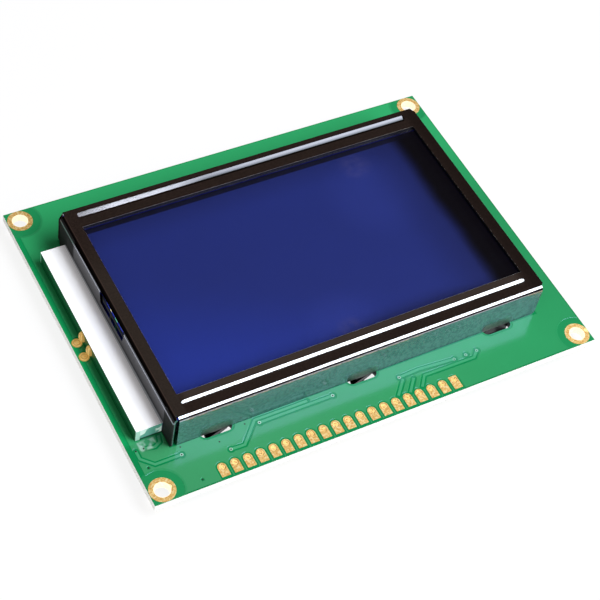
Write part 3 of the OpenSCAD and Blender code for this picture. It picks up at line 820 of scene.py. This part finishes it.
def modify(piece, kind, **settings):
    """Adds a modifier."""
    modifier = piece.modifiers.new(kind.lower(), kind)
    for key, value in settings.items():
        setattr(modifier, key, value)
    return modifier


def settle(piece):
    """Turns what the modifiers make into the piece's plain mesh."""
    graph = bpy.context.evaluated_depsgraph_get()
    graph.update()
    mesh = bpy.data.meshes.new_from_object(piece.evaluated_get(graph))
    piece.modifiers.clear()
    old = piece.data
    piece.data = mesh
    bpy.data.meshes.remove(old)
    mesh.name = piece.name


def ease_edges(piece, width):
    """Rounds a piece's sharp edges and keeps its flat faces flat in the light."""
    piece.data.shade_smooth()
    modify(piece, "BEVEL", width=width, segments=2, limit_method="ANGLE", angle_limit=math.radians(50),
           harden_normals=True)


def smooth(piece, angle=35):
    """Shades a piece smooth, apart from edges sharper than an angle."""
    piece.data.shade_smooth()
    piece.data.set_sharp_from_angle(angle=math.radians(angle))


def fit(piece, slot, *stands_for):
    """Puts a finished piece on the body, in place of CAD nodes where it stands for any."""
    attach(piece, "root")
    if stands_for:
        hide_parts(*stands_for)


# Bezel

def spread(start, end, steps):
    """Even stations from start to end."""
    return [start + (end - start) * i / steps for i in range(steps + 1)]


def stations(*values):
    """Sorted stations without doubles."""
    return sorted({round(v, 8) for v in values})


def groove_drop(x, y):
    """Depth of the pressed grooves at a point of the face."""
    if y > 0:
        near, low, far = REAR_GROOVE
        along = max(0.0, abs(x) - REAR_GROOVE_STRAIGHT)
        across = (y - low) / (far - low if y > low else near - low)
        return REAR_GROOVE_DEPTH * max(0.0, 1 - math.hypot(across, along / REAR_GROOVE_END))
    along = max(0.0, abs(x) - GROOVE_STRAIGHT)
    middle, half_w, depth = FRONT_GROOVE
    off = min(half_w, math.hypot(along, y - middle))
    radius = (half_w ** 2 + depth ** 2) / (2 * depth)
    return math.sqrt(radius ** 2 - off ** 2) - radius + depth


def turned(place, quarter):
    """A place on the rear side, turned to another side by quarter turns."""
    x, y, z = place
    for _ in range(quarter):
        x, y = -y, x
    return x, y, z


def bezel_face(sheet, xs, ys):
    """Flat face with its grooves, its window and its cut corners."""
    x_ends, y_ends = (xs[0], xs[-1]), (ys[0], ys[-1])
    for x0, x1 in zip(xs, xs[1:]):
        for y0, y1 in zip(ys, ys[1:]):
            off_x = abs((x0 + x1) / 2 - WINDOW_MIDDLE[0] + BEZEL_PLAY)
            off_y = abs((y0 + y1) / 2 - WINDOW_MIDDLE[1])
            if off_x < WINDOW_X and off_y < WINDOW_Y:
                continue
            corners = [(x0, y0), (x1, y0), (x1, y1), (x0, y1)]
            kept = [(x, y) for x, y in corners if x not in x_ends or y not in y_ends]
            sheet.face(*((x, y, FACE_Z - groove_drop(x, y)) for x, y in kept))


def folded_wall(sheet, quarter, along, lap, outer, reach, rows, is_open, toe):
    """Fold and wall on one side: along are the stations on the face's edge, rows the heights on the wall."""
    long_end = min(along) - lap
    inside = sorted(along)[1:-1]
    along = stations(long_end, *([long_end + toe] if toe else []), *inside)
    drop = FACE_Z - rows[0]
    fold = [(outer - reach + reach * math.sin(a), FACE_Z - drop + drop * math.cos(a))
            for a in spread(0, math.pi / 2, 12)]
    skin = fold + [(outer, z) for z in rows[1:]]
    for a, b in zip(along, along[1:]):
        for (y0, z0), (y1, z1) in zip(skin, skin[1:]):
            on_lap = toe and lap > 0 and b < long_end + toe + WELD
            if is_open((a + b) / 2, (z0 + z1) / 2) or on_lap and z1 > rows[0] - WELD:
                continue
            if on_lap and z0 > rows[0] - WELD:
                places = [(b, y0, z0), (b, y1, z1), (a, y1, z1)]
            elif toe and b < long_end + toe + WELD and z1 < BOARD_TOP + WELD:
                turns = spread(math.pi / 2, 0, 6)
                arc = [(b - toe * math.cos(t), outer, z0 - toe * math.sin(t)) for t in turns]
                places = [(b, outer, z0)] + arc
            else:
                places = [(a, y0, z0), (b, y0, z0), (b, y1, z1), (a, y1, z1)]
            sheet.face(*(turned(p, quarter) for p in places))


def tab(sheet, quarter, middle, outer, slot_twist, lock_twist):
    """Tab that runs down from a wall through its slot and turns to lock."""
    turn_z = BOARD_TOP - TAB_NECK
    steps = [(BOARD_TOP, 0.0)]
    steps += [(turn_z - TAB_TURN_H * s, slot_twist * s) for s in spread(0, 1, 4)]
    steps += [(BOARD_REAR - TAB_REACH * s, slot_twist + (lock_twist - slot_twist) * s)
              for s in spread(0, 1, 8)]
    half_t = SHEET_T / 2

    def place(u, step):
        z, turn = step
        return (middle + u * math.cos(turn) - half_t * math.sin(turn),
                outer - half_t + u * math.sin(turn) + half_t * math.cos(turn), z)

    for upper, lower in zip(steps, steps[1:]):
        places = [place(-TAB_HALF_W, upper), place(TAB_HALF_W, upper),
                  place(TAB_HALF_W, lower), place(-TAB_HALF_W, lower)]
        sheet.face(*(turned(p, quarter) for p in places))


def make_bezel(material):
    """Folded bezel: its outer skin, given the sheet's thickness inwards and rounded cut edges."""
    sheet = Sheet()
    tab_edges = [x + s * TAB_HALF_W for x in TAB_X for s in (-1, 1)]
    face_x = (FOLD_REACH - BEZEL_X, BEZEL_X - TIGHT_FOLD)
    face_y = (FOLD_REACH - BEZEL_Y, BEZEL_REAR - TIGHT_FOLD)
    xs = [face_x[0] + CORNER_CUT, face_x[1] - CORNER_CUT, *face_x, *tab_edges]
    xs += [WINDOW_MIDDLE[0] - BEZEL_PLAY + s * WINDOW_X for s in (-1, 1)]
    ys = [face_y[0] + CORNER_CUT, face_y[1] - REAR_CUT, *face_y, -BAY_HALF, BAY_HALF]
    ys += [WINDOW_MIDDLE[1] + s * WINDOW_Y for s in (-1, 1)]
    middle, half_w, depth = FRONT_GROOVE
    near, low, far = REAR_GROOVE
    ends = [GROOVE_STRAIGHT + u for u in spread(0, half_w, 10) + [half_w + GROOVE_RIM]]
    ends += [REAR_GROOVE_STRAIGHT + u for u in spread(0, REAR_GROOVE_END, 6)]
    xs += [s * end for end in ends for s in (-1, 1)]
    ys += spread(middle - half_w, middle + half_w, 24) + spread(near, low, 6) + spread(low, far, 12)
    ys += [middle - half_w - GROOVE_RIM, middle + half_w + GROOVE_RIM, near - GROOVE_RIM, far + GROOVE_RIM]
    notch_ends = [NOTCH[0], NOTCH[0] + NOTCH_SLOPE, NOTCH[1] - NOTCH_SLOPE, NOTCH[1]]
    xs, ys = stations(*xs), stations(*ys, *notch_ends)
    bezel_face(sheet, xs, ys)
    top, tight_top = FACE_Z - FOLD_DROP, FACE_Z - TIGHT_FOLD
    low, high = (BOARD_TOP + h for h in NOTCH_HEIGHT)
    lamp_side = [top, high, low, BOARD_TOP + BAY_HEIGHT, BOARD_TOP]

    def closed(s, z):
        return False

    def lamp_side_open(s, z):
        in_notch = NOTCH[0] < s < NOTCH[1] and low < z < FACE_Z - NOTCH_TOP
        in_bay = abs(s) < BAY_HALF and z < BOARD_TOP + BAY_HEIGHT
        return in_notch or in_bay

    wide_lap = FOLD_REACH - CORNER_GAP
    toe = [BOARD_TOP + TOE_R, BOARD_TOP]
    shoulder = [tight_top, FACE_Z - LAP_SHOULDER]
    folded_wall(sheet, 0, xs, wide_lap, BEZEL_REAR, TIGHT_FOLD, shoulder + toe, closed, TOE_R)
    folded_wall(sheet, 1, ys, wide_lap, BEZEL_X, FOLD_REACH, lamp_side, lamp_side_open, 0)
    folded_wall(sheet, 2, [-x for x in xs], -CORNER_CUT, BEZEL_Y, FOLD_REACH, [top] + toe, closed, TOE_R)
    folded_wall(sheet, 3, [-y for y in ys], -REAR_CUT, BEZEL_X, TIGHT_FOLD, [tight_top, BOARD_TOP], closed, 0)
    for middle in TAB_X:
        tab(sheet, 0, middle, BEZEL_REAR, SLOT_TWIST, LOCK_TWIST)
        twists = (-LEAST_TWIST, -LOCK_TWIST) if middle < 0 else (SLOT_TWIST, LOCK_TWIST)
        tab(sheet, 2, middle, BEZEL_Y, *twists)
    for outer, inner in ((NOTCH[0], notch_ends[1]), (NOTCH[1], notch_ends[2])):
        corners = [(outer, BEZEL_X, high), (outer, BEZEL_X, low), (inner, BEZEL_X, low)]
        if outer > inner:
            corners.reverse()
        sheet.face(*(turned(p, 1) for p in corners))
    bmesh.ops.translate(sheet.mesh, verts=sheet.mesh.verts, vec=(BEZEL_PLAY, 0, 0))
    bezel = object_of(sheet.mesh, "folded_bezel", material)
    sheet_group = bezel.vertex_groups.new(name="sheet")
    for corner in bezel.data.vertices:
        share = 1 - GROOVE_THINNING * groove_drop(corner.co.x - BEZEL_PLAY, corner.co.y) / SHEET_T
        sheet_group.add([corner.index], share, "REPLACE")
    modify(bezel, "SOLIDIFY", thickness=SHEET_T, offset=-1.0, use_even_offset=True, vertex_group="sheet")
    ease_edges(bezel, EDGE_ROUND)
    settle(bezel)
    pivot = Matrix.Translation((-BEZEL_X, -BEZEL_Y, 0))
    bezel.data.transform(pivot @ Matrix.Rotation(BEZEL_TURN, 4, "Z") @ pivot.inverted())
    fit(bezel, "black_paint", "bezel")


# Display cell

def make_pane(name, node, material, slot, rounding):
    """Sheet of glass or film in place of its solid, with eased edges and a hair of air on both faces."""
    lo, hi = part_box(node)
    made = bmesh.new()
    bmesh.ops.create_cube(made, size=1.0)
    for corner in made.verts:
        corner.co = [(l + h) / 2 + c * (h - l) for c, l, h in zip(corner.co, lo, hi)]
        corner.co.z -= math.copysign(PANE_AIR, corner.co.z - (lo.z + hi.z) / 2)
    pane = object_of(made, name, material)
    ease_edges(pane, rounding)
    settle(pane)
    fit(pane, slot, node)


# Lamp board

def make_lamp_solder(material):
    """Domes of solder on the lamp board's pads."""
    lo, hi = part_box("lamp_board_pads")
    made = bmesh.new()
    for y in (lo.y + LAMP_PAD_HALF, hi.y - LAMP_PAD_HALF):
        dome = bmesh.ops.create_uvsphere(made, u_segments=32, v_segments=20, radius=1.0)
        size = Matrix.Diagonal((LAMP_SOLDER_RISE, LAMP_PAD_HALF * LAMP_SOLDER_SPREAD, (hi.z - lo.z) / 2, 1.0))
        place = Matrix.Translation((hi.x, y, (lo.z + hi.z) / 2))
        bmesh.ops.transform(made, matrix=place @ size, verts=dome["verts"])
    whole = made.verts[:] + made.edges[:] + made.faces[:]
    cut = bmesh.ops.bisect_plane(made, geom=whole, plane_co=(hi.x, 0, 0), plane_no=(1, 0, 0),
                                 clear_outer=True)
    rims = [e for e in cut["geom_cut"] if isinstance(e, bmesh.types.BMEdge)]
    bmesh.ops.holes_fill(made, edges=rims)
    bmesh.ops.recalc_face_normals(made, faces=made.faces)
    solder = object_of(made, "lamp_solder", material)
    smooth(solder, 40)
    fit(solder, "gold_plating", "lamp_board_pads")


# Copper under the mask

def loft(made, *outlines):
    """Closed solid between two outlines of places."""
    low, high = ([made.verts.new(place) for place in outline] for outline in outlines)
    made.faces.new(low[::-1])
    made.faces.new(high)
    for i in range(len(low)):
        made.faces.new((low[i - 1], low[i], high[i], high[i - 1]))


def add_frustum(made, x, y, r0, r1, z0, z1):
    """Closed round plug whose radius goes from r0 at z0 to r1 at z1."""
    turns = [2 * math.pi * i / CUTTER_SIDES for i in range(CUTTER_SIDES)]
    ends = [(r0, z0), (r1, z1)]
    loft(made, *([(x + r * math.cos(t), y + r * math.sin(t), z) for t in turns] for r, z in ends))


def add_prism(made, start, end, w0, w1, z0, z1):
    """Closed bar between two points whose half width goes from w0 at z0 to w1 at z1."""
    start, end = Vector(start), Vector(end)
    along = (end - start).normalized()
    across = Vector((-along.y, along.x))
    corners = [(start, -1), (end, -1), (end, 1), (start, 1)]
    loft(made, *([(*(p + s * w * across), z) for p, s in corners] for w, z in ((w0, z0), (w1, z1))))


def add_trench(made, path, radius, level, side):
    """Cutter along a path, with sloping sides that reach past both faces of the copper."""
    over = COPPER_RISE / 4
    slope = TRACK_SLOPE / COPPER_RISE * side
    z0, z1 = sorted((level - side * over, level + side * (COPPER_RISE + over)))
    r0, r1 = (radius + slope * (z - level) for z in (z0, z1))
    for x, y in path:
        add_frustum(made, x, y, r0, r1, z0, z1)
    for start, end in zip(path, path[1:]):
        add_prism(made, start, end, r0, r1, z0, z1)


def make_pour(name, material, level, side, blocked, trenches):
    """Copper plane on one face of the board, kept clear of blocked boxes and cut by trenches."""
    sheet = Sheet()
    left, right, half_y = BOARD_LO.x + POUR_LEFT_INSET, BOARD_HI.x - POUR_INSET, BOARD_HI.y - POUR_INSET
    xs = stations(left, right, *(x for box in blocked for x in (box[0], box[1]) if left < x < right))
    ys = stations(-half_y, half_y, *(y for box in blocked for y in (box[2], box[3]) if abs(y) < half_y))
    z = level + side * COPPER_RISE
    for x0, x1 in zip(xs, xs[1:]):
        for y0, y1 in zip(ys, ys[1:]):
            mid_x, mid_y = (x0 + x1) / 2, (y0 + y1) / 2
            if any(b[0] < mid_x < b[1] and b[2] < mid_y < b[3] for b in blocked):
                continue
            places = [(x0, y0, z), (x1, y0, z), (x1, y1, z), (x0, y1, z)]
            sheet.face(*(places if side > 0 else places[::-1]))
    pour = object_of(sheet.mesh, name, material)
    cutter = bmesh.new()
    for path, radius in trenches:
        add_trench(cutter, path, radius, level, side)
    tool = object_of(cutter, name + "_tool")
    modify(pour, "SOLIDIFY", thickness=COPPER_RISE, offset=-1.0)
    modify(pour, "BOOLEAN", operation="DIFFERENCE", solver="EXACT", object=tool, use_self=True)
    settle(pour)
    bpy.data.objects.remove(tool)
    smooth(pour, 20)
    fit(pour, "solder_mask")


class Rule(Nodes):
    """Geometry nodes under construction, with named inputs."""

    def __init__(self, name, **inputs):
        super().__init__(bpy.data.node_groups.new(name, "GeometryNodeTree"))
        face = self.tree.interface
        face.new_socket("Geometry", in_out="OUTPUT", socket_type="NodeSocketGeometry")
        face.new_socket("Geometry", in_out="INPUT", socket_type="NodeSocketGeometry")
        kinds = {float: "NodeSocketFloat", int: "NodeSocketInt", bpy.types.Material: "NodeSocketMaterial"}
        self.settings = {}
        for key, value in inputs.items():
            made = face.new_socket(key, in_out="INPUT", socket_type=kinds[type(value)])
            self.settings[made.identifier] = value
        group = self.node("NodeGroupInput", output="Geometry").socket.node
        self.given = {s.name: Value(self.tree, s) for s in group.outputs if s.name}

    def grow(self, piece, shape):
        """Ends the rule in a shape with its material, and turns it into the piece's plain mesh."""
        real = self.node("GeometryNodeRealizeInstances", sockets={"Geometry": shape})
        done = self.node("GeometryNodeSetMaterial", sockets={
            "Geometry": real, "Material": self.given["Material"]})
        self.node("NodeGroupOutput", sockets={"Geometry": done})
        modifier = piece.modifiers.new("rule", "NODES")
        modifier.node_group = self.tree
        for identifier, value in self.settings.items():
            modifier[identifier] = value
        settle(piece)

    def scatter(self, piece, shape):
        """Ends the rule in one instance of a shape at each point."""
        spots = self.node("GeometryNodeMeshToPoints", sockets={"Mesh": self.given["Geometry"]})
        self.grow(piece, self.node("GeometryNodeInstanceOnPoints", sockets={
            "Points": spots, "Instance": shape}))


def path_object(name, paths):
    """Object of loose edges along paths of points."""
    made = bmesh.new()
    for path in paths:
        corners = [made.verts.new(p) for p in path]
        for a, b in zip(corners, corners[1:]):
            made.edges.new((a, b))
    return object_of(made, name)


def make_tracks(name, material, paths, level, side):
    """Raised tracks under the mask, swept along their paths."""
    z = level + side * COPPER_RISE / 2
    piece = path_object(name, [[(x, y, z) for x, y in path] for path in paths])
    rule = Rule(name + "_rule", Width=TRACK_W, Slope=TRACK_SLOPE, Rise=COPPER_RISE, Material=material)
    given = rule.given
    section = rule.node("GeometryNodeCurvePrimitiveQuadrilateral", {"mode": "TRAPEZOID"}, {
        "Height": given["Rise"], "Bottom Width": given["Width"] + given["Slope"] * (1 + side),
        "Top Width": given["Width"] + given["Slope"] * (1 - side), "Offset": 0.0})
    curve = rule.node("GeometryNodeMeshToCurve", sockets={"Mesh": given["Geometry"]})
    swept = rule.node("GeometryNodeCurveToMesh", sockets={
        "Curve": curve, "Profile Curve": section, "Fill Caps": True})
    rule.grow(piece, swept)
    smooth(piece, 20)
    fit(piece, "solder_mask")


def make_vias(name, material, points, level, side):
    """Low rings round the plated through holes, one instance at each point."""
    z = level + side * COPPER_RISE / 2
    piece = path_object(name, [[(x, y, z)] for x, y in points])
    rule = Rule(name + "_rule", Radius=(VIA_R + VIA_HOLE_R) / 2, Wall=VIA_R - VIA_HOLE_R, Rise=VIA_RISE,
                Material=material)
    given = rule.given
    ring = rule.node("GeometryNodeCurvePrimitiveCircle", sockets={
        "Resolution": 20, "Radius": given["Radius"]})
    section = rule.node("GeometryNodeCurvePrimitiveQuadrilateral", sockets={
        "Width": given["Wall"], "Height": given["Rise"]})
    lip = rule.node("GeometryNodeCurveToMesh", sockets={"Curve": ring, "Profile Curve": section})
    rule.scatter(piece, lip)
    smooth(piece, 30)
    fit(piece, "solder_mask")


def make_via_hole_shade(name, material, points, level, side):
    """Discs of painted shade at the mouths of the plated through holes."""
    z = level + side * VIA_HOLE_LIFT
    piece = path_object(name, [[(x, y, z)] for x, y in points])
    rule = Rule(name + "_rule", Radius=VIA_HOLE_R, Rise=COPPER_RISE, Material=material)
    given = rule.given
    mouth = rule.node("GeometryNodeMeshCylinder", sockets={
        "Vertices": 16, "Radius": given["Radius"], "Depth": given["Rise"]}, output="Mesh")
    rule.scatter(piece, mouth)
    fit(piece, "solder_mask")


FRONT_TRACKS = [
    in_mm((-45.0, -23.7), (-45.0, -25.4), (-43.0, -27.4), (-37.9, -27.4)),
    in_mm((-43.5, -23.7), (-41.5, -24.1), (-40.3, -23.5), (-40.0, -22.2)),
    in_mm((-29.4, -29.8), (-26.7, -29.9), (-22.8, -25.95), (-12.0, -25.95)),
    in_mm((-22.2, -26.75), (-7.1, -26.75)),
    in_mm((6.4, -28.0), (10.8, -27.8), (18.3, -28.4)),
    in_mm((23.4, -28.3), (22.1, -29.5), (11.1, -29.4), (9.4, -31.5)),
    in_mm((8.9, -29.15), (6.7, -31.7)),
    in_mm((6.9, -28.6), (4.2, -31.5)),
]
FRONT_VIAS = in_mm(
    (-37.9, -27.4), (-29.4, -29.8), (-22.2, -26.75), (-7.1, -26.75), (6.4, -28.0),
    (18.3, -28.4), (20.9, -28.4), (23.4, -28.3))
FRONT_FILLED = in_mm((-45.0, -23.7), (-43.5, -23.7), (-44.35, -27.6), (-36.7, -33.4))
FRONT_DOTS = in_mm((-37.45, -25.9), (-30.6, -27.6), (-24.8, -26.0))

# Boxes without copper: under the bezel and the lamp bay, and round the header, the bus and the chips
FRONT_BLOCKED = [mm(-39.25, 39.25, -25.35, 25.35), mm(-44.4, -38.0, -21.9, 21.9)]
REAR_BLOCKED = [mm(-34.4, 18.0, -30.6, -26.3), mm(-14.4, 14.4, -10.0, -2.2), mm(-11.0, 11.0, -24.2, -11.0)]

# Runs on the rear, in plain millimetres, which in_mm() turns into metres
RUN_JOG = 0.8
HEADER_RUN_Y = (-31.6, -30.4, -29.6)
HEADER_VIA_Y = (-28.2, -27.3)
DRIVER_PLACES = [(-25.3, -9.2), (25.3, -9.2), (0.0, 13.2)]
DRIVER_RUNS = 36
DRIVER_RUN_START = 7.0
DRIVER_RUN_ENDS = (9.3, 10.1, 10.9)
DRIVER_FIELD_R = 11.7
BUS_X = (-13.6, -13.0, 13.0, 13.6)
BUS_Y = [-8.0 + 0.8 * i for i in range(7)]
CHIP_X = [4.4 * (i - 2) for i in range(5)]
CHIP_RUN_Y = (-12.6, -9.4)
CHIP_TAIL_Y = (-19.9, -22.4, -23.2)


def pad_trenches():
    """Trenches round the header pads, the corner rings and the tabs' slots, on either face of the board."""
    sides = (-1, 1)
    found = [([(x, PIN_FIRST[1]), (x, PIN_TRENCH_END)], PIN_TRENCH_R) for x in PIN_X]
    found += [([(sx * RING_PLACE[0], sy * RING_PLACE[1])], RING_TRENCH_R) for sx in sides for sy in sides]
    found += [([(x - SLOT_HALF, sy * SLOT_Y), (x + SLOT_HALF, sy * SLOT_Y)], SLOT_TRENCH_R)
              for x in TAB_X for sy in sides]
    return found


def lay_copper(face, level, side, finishes, blocked, trenches, tracks, vias, mouths):
    """Copper on one face of the board: its plane, tracks and vias."""
    pour, track, ring, dark = finishes
    make_pour(face + "_copper", pour, level, side, blocked, trenches)
    make_tracks(face + "_tracks", track, tracks, level, side)
    make_vias(face + "_vias", ring, vias, level, side)
    make_via_hole_shade(face + "_via_holes", dark, mouths, level, side)


def make_front_copper(*finishes):
    """Copper on the front of the board, clear of the bezel and of the lamp bay."""
    trenches = pad_trenches()
    trenches += [(path, TRACK_W / 2 + TRACK_CLEAR) for path in FRONT_TRACKS]
    trenches += [([point], VIA_R + TRACK_CLEAR) for point in FRONT_VIAS]
    trenches += [([point], VIA_R) for point in FRONT_FILLED]
    trenches += [([(FEED_X, sy * FEED_Y)], FEED_TRENCH_R) for sy in (-1, 1)]
    mouths = FRONT_VIAS + FRONT_FILLED + FRONT_DOTS
    lay_copper("front", BOARD_TOP, 1, finishes, FRONT_BLOCKED, trenches, FRONT_TRACKS, FRONT_VIAS, mouths)


def rear_header_runs():
    """Tracks on the rear from the header pads to staggered vias."""
    top, bend, foot = HEADER_RUN_Y
    runs = []
    for i, pin in enumerate(PIN_X):
        x = pin / MM
        runs.append(in_mm((x, top), (x, bend), (x + RUN_JOG, foot), (x + RUN_JOG, HEADER_VIA_Y[i % 2])))
    return runs


def rear_driver_runs():
    """Tracks on the rear that fan out from under the drivers' resin to staggered vias."""
    runs = []
    for x, y in DRIVER_PLACES:
        for i in range(DRIVER_RUNS):
            turn = 2 * math.pi * (i + 0.5) / DRIVER_RUNS
            ends = (DRIVER_RUN_START, DRIVER_RUN_ENDS[i % 3])
            runs.append(in_mm(*((x + r * math.cos(turn), y + r * math.sin(turn)) for r in ends)))
    return runs


def rear_bus_runs():
    """Tracks on the rear between the drivers, and from the row driver down to the chips."""
    start, bend, foot = CHIP_TAIL_Y
    runs = [in_mm(*((x, y) for x in BUS_X)) for y in BUS_Y]
    for x in CHIP_X:
        runs.append(in_mm(*((x, y) for y in CHIP_RUN_Y)))
        runs.append(in_mm((x, start), (x, bend), (x + RUN_JOG, foot)))
    return runs


def make_rear_copper(*finishes):
    """Copper on the rear of the board, cleared for the runs of the header, the drivers and the bus."""
    trenches = pad_trenches() + [(in_mm(place), DRIVER_FIELD_R * MM) for place in DRIVER_PLACES]
    bus = rear_bus_runs()
    runs = rear_header_runs() + rear_driver_runs() + bus
    vias = [run[-1] for run in runs] + [run[0] for run in bus[:len(BUS_Y)]]
    lay_copper("rear", BOARD_REAR, -1, finishes, REAR_BLOCKED, trenches, runs, vias, vias)


def paint(material, *names):
    """Gives CAD nodes their finish."""
    for name in names:
        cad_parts[name].data.materials.clear()
        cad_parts[name].data.materials.append(material)


def main():
    scene = bpy.context.scene
    scene.view_settings.view_transform = "Standard"
    make_camera()
    make_floor()
    make_world()
    make_lights()

    # The board's own mask is darker green than the mask over copper: partly its own tone over laminate,
    # partly painted shade for the narrow trenches, taken off again on the open fields round the corner rings.
    board = mask_finish("solder_mask", "0E844A", 0.0015 * MM, painted_sheen=0.0)
    pour = mask_finish("masked_copper", "2B945A", 0.0015 * MM)
    track = mask_finish("masked_track", "369E68", 0.001 * MM, slope=0.6)
    ring = mask_finish("masked_ring", "9CCDB0", 0.001 * MM, filled=0.6)
    # Painted shade for the mouths of the vias.
    dark = painted_hole_shade()
    gold = gold_finish()
    paint(board, "circuit_board")
    paint(gold, "mounting_rings", "header_pads", "feed_pads")
    make_lamp_solder(gold)
    make_pane("front_film", "front_polarizer", polarizer_finish(), "polarizer", FILM_EDGE)
    paint(plain_finish("rear_polarizer_film", "14183C", "1B2050", 400), "rear_polarizer")
    glass = glass_finish()
    make_pane("front_pane", "front_glass", glass, "cell_glass", GLASS_EDGE)
    make_pane("rear_pane", "rear_glass", glass, "cell_glass", GLASS_EDGE)
    paint(crystal_finish(), "liquid_crystal")
    paint(plain_finish("seal_resin", "0C1030", "141A44", 900), "cell_seal")
    paint(plug_finish(), "filling_port_plug")
    paint(strip_finish(), "contact_strip_front", "contact_strip_rear")
    paint(milky_finish(), "backlight_frame")
    paint(plain_finish("guide_acrylic", "D6E6E0", "EAF4F0", 700, (0.08, 0.15)), "light_guide")
    paint(plain_finish("diffuser_film", "C5CBEB", "DDE2F6", 900), "diffuser_film")
    paint(film_finish(), "reflector_film", "lamp_cover_film")
    paint(lamp_board_finish(), "lamp_board")
    paint(plain_finish("lamp_case", "E6DFC8", "F5F1E4", 1500), "lamps")
    paint(plain_finish("chip_resin", "0B0B0C", "1A1A1C", 900, (0.25, 0.45), 0.02),
          "row_driver_resin", "left_column_driver_resin", "right_column_driver_resin")
    paint(plain_finish("resistor_body", "15171A", "2A2E33", 1800), "chip_resistors")
    paint(plain_finish("capacitor_body", "9A7B55", "BD9C72", 1800), "chip_capacitors")
    paint(plain_finish("solder", "A4A8AD", "D2D5D8", 1500, (0.2, 0.35), 0.02, Metallic=0.9),
          "chip_solder_joints")
    make_bezel(bezel_finish())
    make_front_copper(pour, track, ring, dark)
    make_rear_copper(pour, track, ring, dark)


main()
